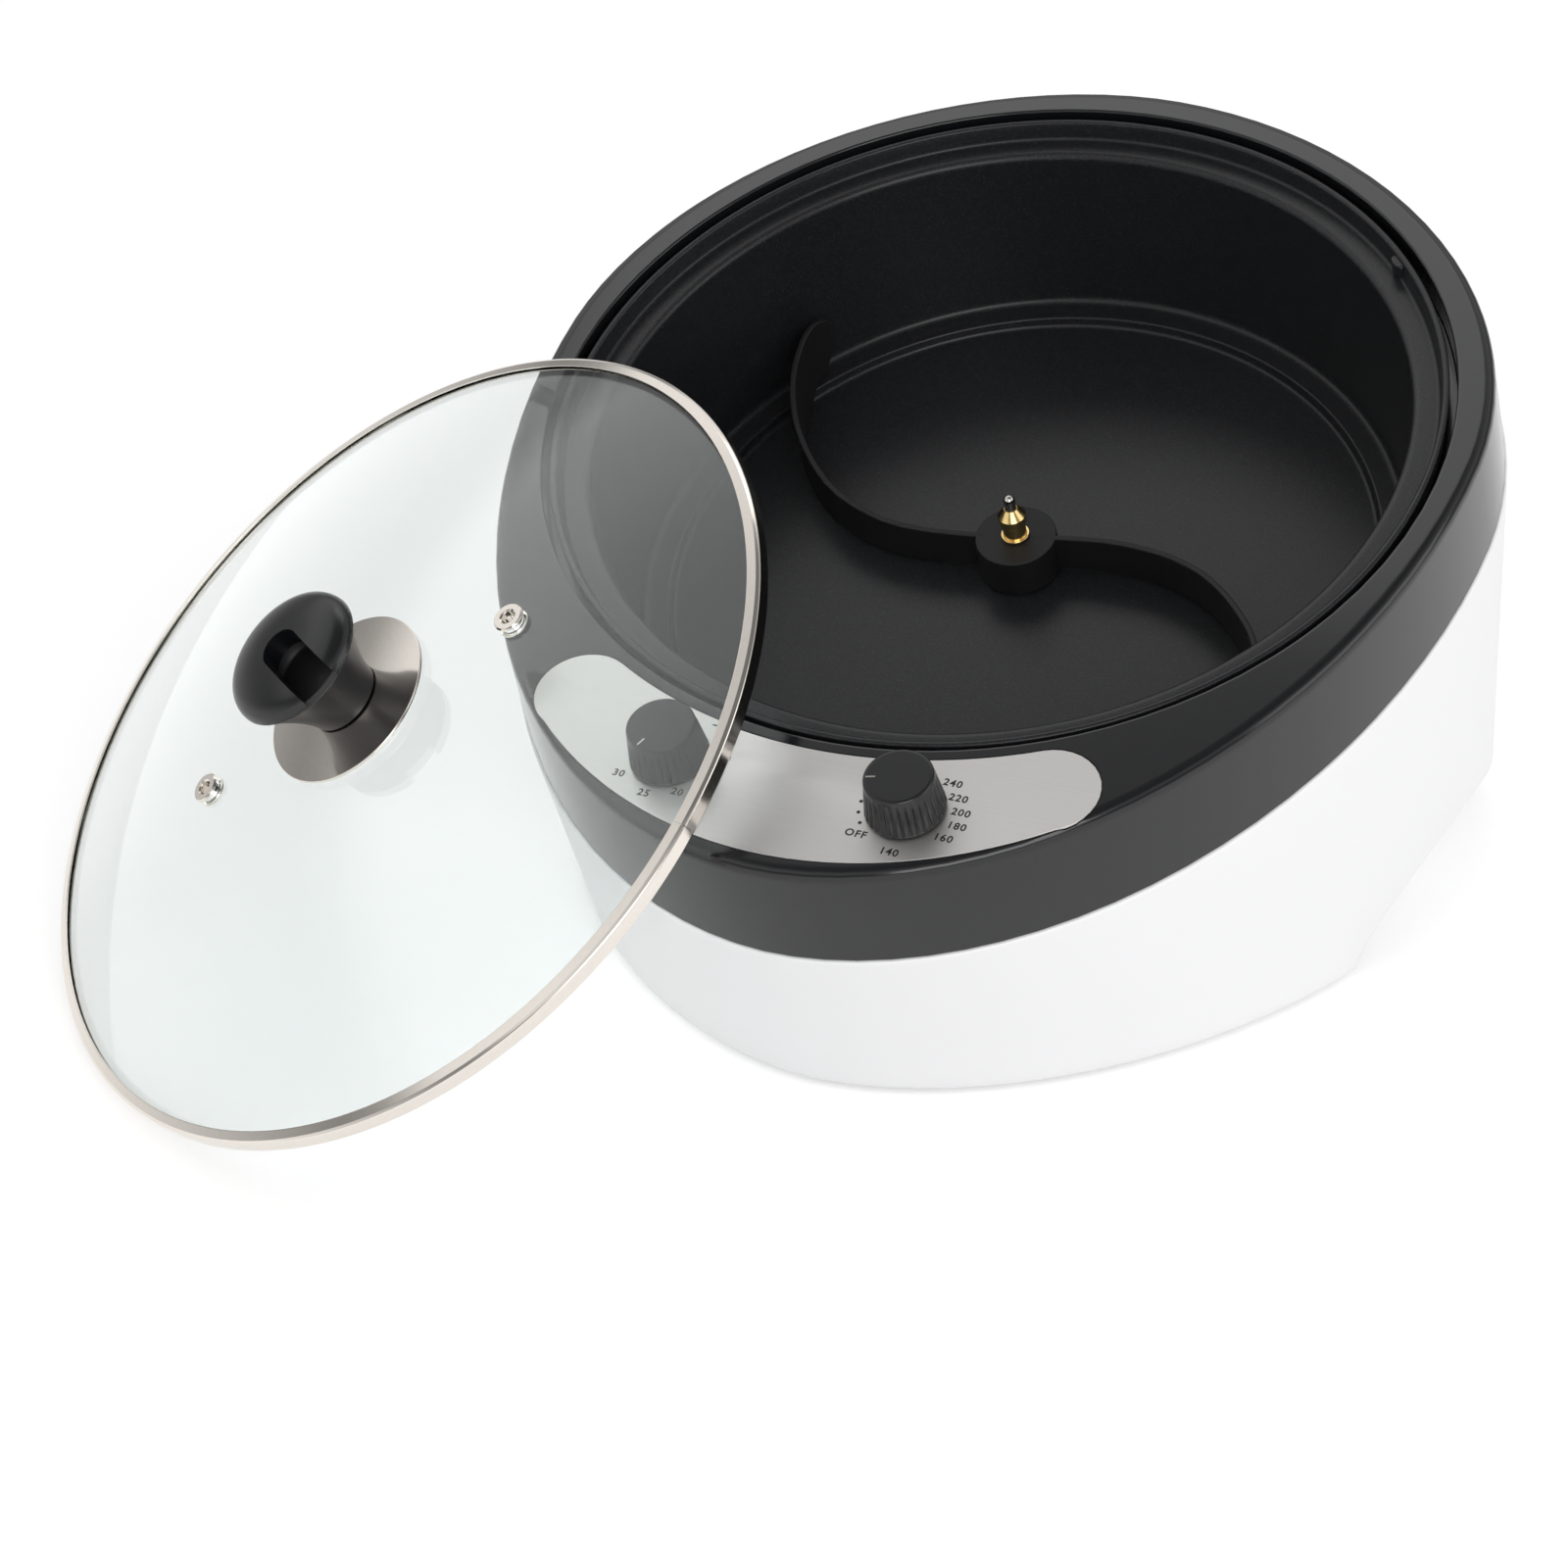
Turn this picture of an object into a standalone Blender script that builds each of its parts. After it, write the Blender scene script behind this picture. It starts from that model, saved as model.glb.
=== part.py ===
"""Home coffee bean roaster: an oval countertop housing with a sloping top, a round
non-stick pot with a motor-driven stirrer, two dial knobs, and a loose domed glass lid
that stands on its rim and leans on the left knob.

Metres, +Z up, the front with the knobs towards -Y. The origin is on the flat underside
of the bottom cover, below the middle of the pot's mouth.
"""
import math

import bmesh
import bpy
from mathutils import Vector

# Shared clearances and mesh counts
gap = 0.0003                  # between touching pieces that do not move
running_gap = 0.0004          # round a turning piece
overrun = 0.004               # how far a cutter runs past what it cuts
sides_round = 56              # columns round a large piece
sides_medium = 32
sides_small = 16
merge_distance = 0.00001

# Pot axis: the top plane of the housing slopes down to the front
slope = math.radians(16.8)
mouth_height = 0.1342         # middle of the pot's mouth above the base face

# Top ring, an egg-shaped bezel round a circular mouth
mouth_radius = 0.127
ring_side_margin = 0.0089      # ring outside the mouth at its sides, back and front
ring_back_margin = 0.0096
ring_front_margin = 0.0445
ring_half_width = mouth_radius + ring_side_margin
ring_back = mouth_radius + ring_back_margin
ring_front = mouth_radius + ring_front_margin
ring_widest = 0.0082          # where the outline is widest, behind the pot axis
ring_power = 1.92             # 2 would be an ellipse
band_height = 0.032
band_flare = 0.0018           # how much the band grows from its top to its lower edge
band_wall = 0.0024
corner_radius = 0.003
inner_edge_radius = 0.0008
top_wall = 0.0026
seat_wall = 0.0022
seat_width = 0.0071           # inner ledge that carries the pot's flange

# White lower shell
shell_proud = 0.0006          # the shell stands out past the band by this
foot_side_flare = 0.0018        # the foot against the ring, at its sides, back and front
foot_back_flare = 0.0004
foot_front_lean = 0.0335
foot_half_width = ring_half_width + foot_side_flare
foot_back = ring_back + foot_back_flare
foot_front = ring_front - foot_front_lean
foot_widest = 0.0289
foot_power = 1.8
skirt_drop = 0.001            # how far the shell reaches below the base face
shell_wall = 0.0025
arch_middle = 0.0143          # hand recess under each side
arch_half_length = 0.054
arch_height = 0.027
arch_power = 1.7

# Bottom cover
cover_wall = 0.003
pocket_wall = 0.002
pocket_reach = 0.026          # how far a hand goes in from the shell's side
stand_height = 0.0025         # base face above the worktop
foot_pad_radius = 0.009
foot_stem_radius = 0.0028
foot_stem_length = 0.0055
foot_pad_inset = 0.017        # from the shell's foot outline to a pad's middle
screw_inset = 0.0078          # from the shell's foot outline to a cover screw
screw_radius = 0.0015
screw_head_radius = 0.0034
screw_head_height = 0.0014
screw_length = 0.013
boss_radius = 0.0045
boss_height = 0.02
rib_wall = 0.003
rib_reach = 0.03
rib_inset = 0.001
vent_length = 0.034
vent_width = 0.0035
vent_pitch = 0.009
vent_count = 5

# Pot
pot_wall = 0.002
lip_play = 0.0021              # between the pot's lip and the ring's mouth
lip_radius = mouth_radius - lip_play - pot_wall
lip_drop = 0.0012             # lip below the housing's top plane
flange_depth = 0.007          # seat for the glass lid
seat_play = 0.0033            # between the pot's side and the ring's ledge
pot_top_radius = mouth_radius - seat_width - seat_play - pot_wall
flange_ease = 0.0026          # from the pot's side out to its flat flange
flange_inner_radius = pot_top_radius + flange_ease
pot_taper = 0.0034            # how much narrower the pot is at its floor
pot_foot_radius = pot_top_radius - pot_taper
step_depth = 0.0615           # ledge round the floor
step_width = 0.0083
pot_depth = 0.0645

# Stirrer
stirrer_lift = 0.0006         # under the blade
hub_radius = 0.0118
hub_height = 0.0122
blade_half_width = 0.0009
blade_play = 0.0052           # from the blade's sweep to the pot's side
blade_reach = pot_foot_radius - blade_play
tip_height = 0.025
arm_path_shares = ((0.0, 0.0), (0.125, -0.022), (0.25, -0.036), (0.36, -0.032), (0.452, -0.011),
                   (0.542, 0.028), (0.621, 0.085), (0.692, 0.156), (0.754, 0.236), (0.798, 0.321),
                   (0.821, 0.387), (0.833, 0.453), (0.8345, 0.51), (0.826, 0.562), (0.811, 0.605))
arm_top_shares = (0.49, 0.49, 0.5, 0.505, 0.53, 0.555, 0.585, 0.63, 0.7, 0.78, 0.84, 0.9, 0.96,
                  0.985, 0.9)
arm_bottom_shares = (0, 0, 0, 0, 0, 0, 0, 0, 0, 0, 0, 0.03, 0.17, 0.22, 0.42)
shaft_radius = 0.003
shaft_neck_radius = 0.0017    # above the hub, where the nut is screwed on
nut_flange_radius = 0.0041
nut_neck_radius = 0.0029
nut_radius = 0.004
nut_height = 0.0125
nut_flange_height = 0.0012
nut_neck_height = 0.005
nut_wall = 0.0008
nut_cone_height = 0.0036
shaft_tip_height = 0.003

# Under the pot
heater_radius = 0.075
heater_tube_radius = 0.0033
heater_opening = math.radians(26)
heater_bend = 0.006           # the two ends turn down with this radius
heater_leg = 0.002
cutout_radius = 0.0075
cutout_height = 0.004
cutout_place = 0.042
shield_wall = 0.0008
shield_air = 0.003            # between the pot's side and the shield, at its top
shield_foot_air = 0.0046
shield_rim_radius = mouth_radius + seat_wall + 0.0013
shield_top_radius = pot_top_radius + pot_wall + shield_air
shield_foot_radius = pot_foot_radius + pot_wall + shield_foot_air
shield_space = 0.0145         # from the pot's underside to the shield's floor
bush_radius = 0.0062
bush_flange_radius = 0.0092
bush_flange_height = 0.0012

# Gear motor
gear_module = 0.0008
tooth_backlash_share = 0.17
output_teeth = 48
pinion_teeth = 12
middle_teeth = 40
motor_teeth = 10
gear_width = 0.004
gear_space = 0.001
case_wall = 0.0015
case_radius = 0.037
case_corner_radius = 0.0012
can_radius = 0.0245
can_height = 0.02
rotor_radius = 0.0125
axle_radius = 0.0015

# Control panel and dials
panel_inset = 0.0036          # from the mouth to the panel
panel_inner_radius = mouth_radius + panel_inset
panel_margin = 0.0052         # to the ring's outer edge
panel_sweep = math.radians(27.2)
panel_wall = 0.0006
panel_recess = 0.0009
dial_space = 0.066            # between the two dials
dial_margin = 0.016           # in front of the mouth
dial_place = (dial_space / 2, mouth_radius + dial_margin)
dial_shaft_radius = 0.003
knob_foot_radius = 0.0105
knob_top_radius = 0.0091
knob_height = 0.0118
knob_lift = 0.0008            # over the panel
knob_flutes = 24
flute_depth = 0.00045
knob_chamfer = 0.0012
knob_bore_depth = 0.009
timer_size = (0.03, 0.022, 0.02)
thermostat_size = (0.026, 0.021, 0.015)
control_edge = 0.0012

# Mains inlet
gland_height = 0.021
gland_radius = 0.0052
gland_flange_radius = 0.0078
gland_flange_width = 0.0022
gland_bore_radius = 0.0034
gland_length = 0.013
terminal_size = (0.036, 0.018, 0.014)
terminal_place = 0.092        # behind the pot axis

# Lid, standing on its rim and leaning on the left knob
lid_play = 0.0002             # in the pot's lip, when the lid is on
lid_radius = lip_radius - lid_play
lid_side_place = 0.0026       # the lid's middle stands out past its own radius, sideways
lid_front_place = 0.0034      # and to the front
lid_middle = (-lid_radius - lid_side_place, -lid_radius - lid_front_place)
lid_tilt = math.radians(36.85)
lid_turn = math.radians(-34.9)
lid_rise = 0.0194             # dome over the edge of the glass
glass_wall = 0.0031
glass_edge_height = 0.0014
rim_sheet = 0.0006
rim_lap = 0.0034
vent_place = 0.053
vent_turn = math.radians(60)
eyelet_radius = 0.0044
eyelet_barrel_radius = 0.0031
eyelet_bore_radius = 0.0019
eyelet_lip = 0.0009
disc_radius = 0.0258
disc_wall = 0.0009
lid_knob_foot_radius = 0.0108
lid_knob_flare = 1.5              # power of the line from foot to rim; 1 is a straight cone
lid_knob_radius = 0.0203
lid_knob_height = 0.0192
cap_height = 0.0064
slot_half_width = 0.0057
lid_screw_radius = 0.0022
lid_screw_head_radius = 0.005
lid_screw_head_height = 0.0024
lid_screw_grip = 0.011
washer_radius = 0.0085
washer_height = 0.0012


# Start from an empty scene, with one collection for the parts and one for the cutters
for old in list(bpy.data.objects):
    bpy.data.objects.remove(old, do_unlink=True)

parts = bpy.data.collections.new("coffee_roaster")
cutters = bpy.data.collections.new("cutters")
for group in (parts, cutters):
    bpy.context.scene.collection.children.link(group)


def material(name, colour, roughness, metallic=0.0):
    """A Principled material from an sRGB colour given as three shares."""
    made = bpy.data.materials.new(name)
    made.use_nodes = True
    shader = made.node_tree.nodes["Principled BSDF"]
    linear = [c / 12.92 if c <= 0.04045 else ((c + 0.055) / 1.055) ** 2.4 for c in colour]
    shader.inputs["Base Color"].default_value = (*linear, 1.0)
    shader.inputs["Roughness"].default_value = roughness
    shader.inputs["Metallic"].default_value = metallic
    return made


white_plastic = (0.95, 0.95, 0.96)
black_plastic = (0.05, 0.05, 0.055)
steel = (0.78, 0.77, 0.75)


def empty(name, place=(0, 0, 0), turn=(0, 0, 0), parent=None):
    """A frame or axis that other pieces are parented to."""
    frame = bpy.data.objects.new(name, None)
    parts.objects.link(frame)
    frame.location = place
    frame.rotation_euler = turn
    frame.parent = parent
    return frame


def add(name, mesh, look=None, parent=None, place=(0, 0, 0), turn=(0, 0, 0)):
    """A named object in the parts collection, or a hidden cutter where it has no look."""
    piece = bpy.data.objects.new(name, mesh)
    (parts if look else cutters).objects.link(piece)
    piece.location = place
    piece.rotation_euler = turn
    piece.parent = parent
    if look:
        mesh.materials.append(material(name + "_finish", *look))
    else:
        piece.hide_render = True
        piece.display_type = "WIRE"
    return piece


def smooth(piece, angle=math.radians(35)):
    """Round pieces are shaded smooth, with creases left sharp."""
    piece.data.shade_smooth()
    piece.data.set_sharp_from_angle(angle=angle)


def turned(name, profile, look=None, parent=None, place=(0, 0, 0), turn=(0, 0, 0),
           steps=sides_medium, closed=False):
    """A profile of (radius, height) points turned about Z, down its outer side."""
    mesh = bpy.data.meshes.new(name)
    edges = [(i, i + 1) for i in range(len(profile) - 1)]
    if closed:
        edges.append((len(profile) - 1, 0))
    mesh.from_pydata([(radius, 0, height) for radius, height in profile], edges, [])
    piece = add(name, mesh, look, parent, place, turn)
    screw = piece.modifiers.new("Turn", "SCREW")
    screw.steps = screw.render_steps = steps
    screw.use_merge_vertices = True
    screw.merge_threshold = merge_distance
    screw.use_smooth_shade = True
    return piece


def solid_wall(piece, thickness, offset=-1.0):
    """Thickness for an open surface, inward from its faces unless told otherwise."""
    wall = piece.modifiers.new("Wall", "SOLIDIFY")
    wall.thickness = thickness
    wall.offset = offset
    wall.use_even_offset = True
    return wall


def cut(piece, cutter, operation="DIFFERENCE"):
    """An exact Boolean with a hidden cutter."""
    step = piece.modifiers.new(cutter.name, "BOOLEAN")
    step.operation = operation
    step.solver = "EXACT"
    step.object = cutter
    return step


def grid_mesh(name, rows, loop_rows=False):
    """A mesh over rows of points that each close on themselves."""
    build = bmesh.new()
    grid = [[build.verts.new(point) for point in row] for row in rows]
    pairs = list(zip(grid, grid[1:]))
    if loop_rows:
        pairs.append((grid[-1], grid[0]))
    for lower, upper in pairs:
        for i in range(len(lower)):
            j = (i + 1) % len(lower)
            build.faces.new((lower[i], lower[j], upper[j], upper[i]))
    mesh = bpy.data.meshes.new(name)
    build.to_mesh(mesh)
    build.free()
    return mesh


def capped_mesh(name, rows):
    """A grid over rows, closed with a flat face at its first and last row."""
    mesh = grid_mesh(name, rows)
    build = bmesh.new()
    build.from_mesh(mesh)
    bmesh.ops.holes_fill(build, edges=build.edges, sides=0)
    bmesh.ops.recalc_face_normals(build, faces=build.faces)
    build.to_mesh(mesh)
    build.free()
    return mesh


def flat(name, outlines, low, high, look=None, parent=None, place=(0, 0, 0), turn=(0, 0, 0)):
    """A flat plate from a filled 2D curve: the first outline is the edge, the rest are holes."""
    curve = bpy.data.curves.new(name, "CURVE")
    curve.dimensions = "2D"
    curve.fill_mode = "BOTH"
    curve.extrude = (high - low) / 2
    for outline in outlines:
        spline = curve.splines.new("POLY")
        spline.points.add(len(outline) - 1)
        for point, (x, y) in zip(spline.points, outline):
            point.co = (x, y, 0, 1)
        spline.use_cyclic_u = True
    guide = bpy.data.objects.new(name + "_curve", curve)
    bpy.context.scene.collection.objects.link(guide)
    evaluated = guide.evaluated_get(bpy.context.evaluated_depsgraph_get())
    mesh = bpy.data.meshes.new_from_object(evaluated)
    bpy.data.objects.remove(guide, do_unlink=True)
    build = bmesh.new()
    build.from_mesh(mesh)
    bmesh.ops.remove_doubles(build, verts=build.verts, dist=merge_distance)
    bmesh.ops.translate(build, verts=build.verts, vec=(0, 0, (low + high) / 2))
    bmesh.ops.recalc_face_normals(build, faces=build.faces)
    build.to_mesh(mesh)
    build.free()
    return add(name, mesh, look, parent, place, turn)


def box(name, low, high, look=None, parent=None, edge=0.0):
    """A box between two corners, with rounded edges where asked."""
    build = bmesh.new()
    bmesh.ops.create_cube(build, size=1)
    size = Vector(high) - Vector(low)
    bmesh.ops.scale(build, verts=build.verts, vec=size)
    bmesh.ops.translate(build, verts=build.verts, vec=(Vector(high) + Vector(low)) / 2)
    mesh = bpy.data.meshes.new(name)
    build.to_mesh(mesh)
    build.free()
    piece = add(name, mesh, look, parent)
    if edge:
        bevel = piece.modifiers.new("Edge", "BEVEL")
        bevel.width = edge
        bevel.segments = 2
    return piece


def rod(name, radius, low, high, look=None, parent=None, place=(0, 0, 0), turn=(0, 0, 0),
        sides=sides_small):
    """A cylinder along Z between two heights."""
    build = bmesh.new()
    bmesh.ops.create_cone(build, cap_ends=True, segments=sides, radius1=radius, radius2=radius,
                          depth=high - low)
    bmesh.ops.translate(build, verts=build.verts, vec=(0, 0, (low + high) / 2))
    mesh = bpy.data.meshes.new(name)
    build.to_mesh(mesh)
    build.free()
    piece = add(name, mesh, look, parent, place, turn)
    smooth(piece)
    return piece


def circle(radius, sides, x=0.0, y=0.0):
    """Points round a circle."""
    return [(x + radius * math.cos(2 * math.pi * i / sides),
             y + radius * math.sin(2 * math.pi * i / sides)) for i in range(sides)]


def egg(half_width, back, front, widest, power, turn):
    """A point on an outline of two half ovals that meet where it is widest."""
    side = math.cos(turn)
    ahead = math.sin(turn)
    reach = back - widest if ahead > 0 else front + widest
    return (half_width * math.copysign(abs(side) ** (2 / power), side),
            widest + reach * math.copysign(abs(ahead) ** (2 / power), ahead))


def ring_outline(growth, turn):
    """The ring's outer outline in its own plane, grown outward by a length."""
    return egg(ring_half_width + growth, ring_back + growth, ring_front + growth, ring_widest,
               ring_power, turn)


def turns(count):
    """Equal turns round a full circle."""
    return [2 * math.pi * i / count for i in range(count)]


# Frame of the pot: its origin is in the middle of the mouth, its Z along the pot's axis
pot_frame = empty("pot_frame", (0, 0, mouth_height), (slope, 0, 0))


def in_world(x, y, z):
    """A point of the pot's frame in world coordinates."""
    return Vector((x, y * math.cos(slope) - z * math.sin(slope),
                   mouth_height + y * math.sin(slope) + z * math.cos(slope)))


# White lower shell, lofted from the foot's outline up to the ring's sloping lower edge
def foot_point(turn, inset):
    """A place inside the shell's foot outline."""
    x, y = egg(foot_half_width - inset, foot_back - inset, foot_front - inset, foot_widest,
               foot_power, turn)
    return x, y


def shell_section(share, inset=0.0):
    """Points round the shell, from share 0 at its foot to share 1 at the band's lower edge."""
    section = []
    for turn in turns(sides_round):
        x, y = foot_point(turn, inset)
        low = Vector((x, y, -skirt_drop))
        x, y = ring_outline(band_flare + shell_proud - inset, turn)
        high = in_world(x, y, -band_height)
        section.append(low.lerp(high, share))
    return section


foot_turns = [math.radians(degrees) for degrees in (42, 138, 232, 308)]
screw_turns = [math.radians(degrees) for degrees in (58, 122, 248, 292)]

shell_shares = (0, 1.1)
tunnel_half_width = foot_half_width + overrun
base_shell = add("base_shell", grid_mesh("base_shell", [shell_section(s) for s in shell_shares]),
                 (white_plastic, 0.35))
solid_wall(base_shell, shell_wall)
smooth(base_shell)

above_shell = box("above_shell", (-tunnel_half_width, -ring_front - overrun, -band_height - gap),
                  (tunnel_half_width, ring_front, 0), parent=pot_frame)
cut(base_shell, above_shell)

arch_steps = 16
arch = []
for i in range(arch_steps + 1):
    along = -math.cos(math.pi * i / arch_steps)
    up = (1 - abs(along) ** arch_power) ** (1 / arch_power)
    arch.append((arch_middle + arch_half_length * along, arch_height * up))
arch_outline = [(arch[-1][0], -overrun)] + arch[::-1] + [(arch[0][0], -overrun)]
tunnel = flat("hand_arch", [arch_outline], -tunnel_half_width, tunnel_half_width,
              turn=(math.pi / 2, 0, math.pi / 2))
cut(base_shell, tunnel)

gland_hole = rod("gland_hole", gland_radius + gap, 0, foot_back + overrun,
                 place=(0, 0, gland_height), turn=(-math.pi / 2, 0, 0))
cut(base_shell, gland_hole)

core_sections = [shell_section(0, shell_wall / 2), shell_section(1, shell_wall / 2)]
wall_core = add("wall_core", capped_mesh("wall_core", core_sections))
boss_low = cover_wall + gap
for index, turn in enumerate(screw_turns):
    place = (*foot_point(turn, screw_inset), 0)
    boss = rod(f"boss_{index}", boss_radius, boss_low, boss_low + boss_height, place=place)
    cut(base_shell, boss, "UNION")
    rib = box(f"boss_rib_{index}", (0, -rib_wall / 2, boss_low + rib_inset),
              (rib_reach, rib_wall / 2, boss_low + boss_height - rib_inset))
    rib.location = place
    rib.rotation_euler.z = turn
    cut(rib, wall_core, "INTERSECT")
    cut(base_shell, rib, "UNION")
    pilot = rod(f"pilot_{index}", screw_radius + gap, -overrun, screw_length + overrun, place=place)
    cut(base_shell, pilot)

# Bottom cover: a plate with a roofed pocket behind each hand arch
cover_inset = shell_wall + gap * 2
pocket_height = arch_height
cover_height = pocket_height + pocket_wall
cover_outline = [foot_point(turn, cover_inset) for turn in turns(sides_round)]
bottom_cover = flat("bottom_cover", [cover_outline], 0, cover_height, ((0.86, 0.86, 0.87), 0.5))

cover_cavity = box("cover_cavity", (-foot_half_width, -foot_front, cover_wall),
                   (foot_half_width, foot_back, cover_height + overrun))
pocket_inner = foot_half_width - pocket_reach
for side in (-1, 1):
    low_y = arch_middle - arch_half_length
    high_y = arch_middle + arch_half_length
    outer = sorted((side * (pocket_inner - pocket_wall), side * (foot_half_width + overrun)))
    inner = sorted((side * pocket_inner, side * (foot_half_width + overrun)))
    block = box(f"pocket_block_{side}", (outer[0], low_y - pocket_wall, -overrun),
                (outer[1], high_y + pocket_wall, cover_height))
    cut(cover_cavity, block)
    hollow = box(f"pocket_hollow_{side}", (inner[0], low_y, -overrun),
                 (inner[1], high_y, pocket_height))
    cut(bottom_cover, hollow)
cut(bottom_cover, cover_cavity)

for index, turn in enumerate(screw_turns):
    place = (*foot_point(turn, screw_inset), 0)
    through = rod(f"screw_hole_{index}", screw_radius + gap, -overrun, cover_wall + overrun,
                  place=place)
    cut(bottom_cover, through)
    sink = rod(f"screw_sink_{index}", screw_head_radius + gap, -overrun,
               screw_head_height + gap, place=place)
    cut(bottom_cover, sink)
for index, turn in enumerate(foot_turns):
    place = (*foot_point(turn, foot_pad_inset), 0)
    stem_hole = rod(f"stem_hole_{index}", foot_stem_radius + gap, -overrun, cover_wall + overrun,
                    place=place)
    cut(bottom_cover, stem_hole)
for index in range(vent_count):
    middle = (index - (vent_count - 1) / 2) * vent_pitch
    slot_y = sorted((-foot_front / 2, -foot_front / 2 + vent_length))
    vent = box(f"vent_{index}", (middle - vent_width / 2, slot_y[0], -overrun),
               (middle + vent_width / 2, slot_y[1], cover_wall + overrun))
    cut(bottom_cover, vent)

foot_names = ("foot_rear_right", "foot_rear_left", "foot_front_left", "foot_front_right")
for name, turn in zip(foot_names, foot_turns):
    edge = foot_pad_radius / 8
    turned(name, [(0, foot_stem_length), (foot_stem_radius, foot_stem_length),
                  (foot_stem_radius, -gap), (foot_pad_radius, -gap),
                  (foot_pad_radius, edge - stand_height), (foot_pad_radius - edge, -stand_height),
                  (0, -stand_height)],
           ((0.12, 0.12, 0.12), 0.8), place=(*foot_point(turn, foot_pad_inset), 0),
           steps=sides_small)

screw_names = ("cover_screw_rear_right", "cover_screw_rear_left", "cover_screw_front_left",
               "cover_screw_front_right")
for name, turn in zip(screw_names, screw_turns):
    edge = screw_head_height / 3
    turned(name, [(0, screw_length), (screw_radius, screw_length),
                  (screw_radius, screw_head_height), (screw_head_radius, screw_head_height),
                  (screw_head_radius, edge), (screw_head_radius - edge, 0), (0, 0)],
           (steel, 0.35, 1.0), place=(*foot_point(turn, screw_inset), 0), steps=sides_small)

# Top ring: one section swept round the egg outline, with a ledge that carries the pot
seat_depth = flange_depth + pot_wall + gap
seat_foot = seat_depth + seat_wall


def ring_section(turn):
    """The ring's cross-section where its outer edge stands at a turn of the outline."""
    outer = Vector(ring_outline(0, turn))
    lower = Vector(ring_outline(band_flare, turn))
    ray = outer.normalized()
    lower_ray = lower.normalized()
    reach = outer.length
    corner = corner_radius
    bend = corner * (1 - math.sqrt(0.5))
    inner_wall = mouth_radius + seat_wall
    points = [
        (lower_ray * lower.length, -band_height),
        (ray * reach, -corner),
        (ray * (reach - bend), -bend),
        (ray * (reach - corner), 0),
        (ray * (mouth_radius + inner_edge_radius), 0),
        (ray * mouth_radius, -inner_edge_radius),
        (ray * mouth_radius, -seat_depth),
        (ray * (mouth_radius - seat_width), -seat_depth),
        (ray * (mouth_radius - seat_width), -seat_foot),
        (ray * inner_wall, -seat_foot),
        (ray * inner_wall, -top_wall),
        (ray * (reach - band_wall), -top_wall),
        (lower_ray * (lower.length - band_wall), -band_height),
    ]
    return [Vector((flat_point.x, flat_point.y, height)) for flat_point, height in points]


ring_rows = [ring_section(turn) for turn in turns(sides_round)]
top_ring = add("top_ring", grid_mesh("top_ring", ring_rows, loop_rows=True),
               (black_plastic, 0.12), parent=pot_frame)
smooth(top_ring)


def panel_outline(growth):
    """The crescent round the front of the mouth, with round ends, grown by a length."""
    steps = 24
    front = -math.pi / 2

    def outer_radius(turn):
        reach = Vector(ring_outline(0, turn)).length
        return reach - panel_margin

    inner = []
    outer = []
    for i in range(steps + 1):
        turn = front + panel_sweep * (2 * i / steps - 1)
        inner.append(Vector((math.cos(turn), math.sin(turn))) * (panel_inner_radius - growth))
        outer.append(Vector((math.cos(turn), math.sin(turn))) * (outer_radius(turn) + growth))
    outline = list(outer)
    for start, end in ((outer[-1], inner[-1]), (inner[0], outer[0])):
        middle = (start + end) / 2
        arm = start - middle
        if start is inner[0]:
            outline += inner[::-1]
        for i in range(1, 10):
            swing = math.pi * i / 10
            outline.append(middle + Vector((arm.x * math.cos(swing) - arm.y * math.sin(swing),
                                            arm.x * math.sin(swing) + arm.y * math.cos(swing))))
    return [(point.x, point.y) for point in outline]


panel_bed = flat("panel_bed", [panel_outline(gap)], -panel_recess, overrun, parent=pot_frame)
cut(top_ring, panel_bed)

panel_low = gap - panel_recess
panel_high = panel_low + panel_wall
dial_hole_radius = dial_shaft_radius + running_gap
dials = {"timer": (-dial_place[0], -dial_place[1]), "temperature": (dial_place[0], -dial_place[1])}
for name, (x, y) in dials.items():
    hole = rod(f"{name}_hole", dial_hole_radius, -seat_foot, overrun, parent=pot_frame,
               place=(x, y, 0))
    cut(top_ring, hole)
panel_holes = [circle(dial_hole_radius, sides_small, x, y) for x, y in dials.values()]
flat("control_panel", [panel_outline(0)] + panel_holes, panel_low, panel_high,
     ((0.8, 0.79, 0.78), 0.3, 1.0), parent=pot_frame)

# Roasting pot: the inner surface from the centre hole out to the lip, thickened outward
floor_top = -pot_depth
floor_under = floor_top - pot_wall
bush_hole_radius = bush_radius + gap
step_radius = pot_foot_radius - step_width
corner = pot_wall / 2
pot_profile = [
    (bush_hole_radius, floor_top),
    (step_radius - corner * 2, floor_top),
    (step_radius, -step_depth - corner),
    (step_radius + corner, -step_depth - corner / 2),
    (pot_foot_radius - corner * 1.5, -step_depth),
    (pot_foot_radius, -step_depth + corner * 2),
    (pot_top_radius, -flange_depth - pot_wall * 2),
    (pot_top_radius + corner, -flange_depth - pot_wall / 2),
    (flange_inner_radius, -flange_depth),
    (lip_radius - pot_wall / 2, -flange_depth),
    (lip_radius, -lip_drop),
]
roasting_pot = turned("roasting_pot", pot_profile, ((0.16, 0.165, 0.175), 0.45, 0.2),
                      parent=pot_frame, steps=sides_round)
solid_wall(roasting_pot, pot_wall)

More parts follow.
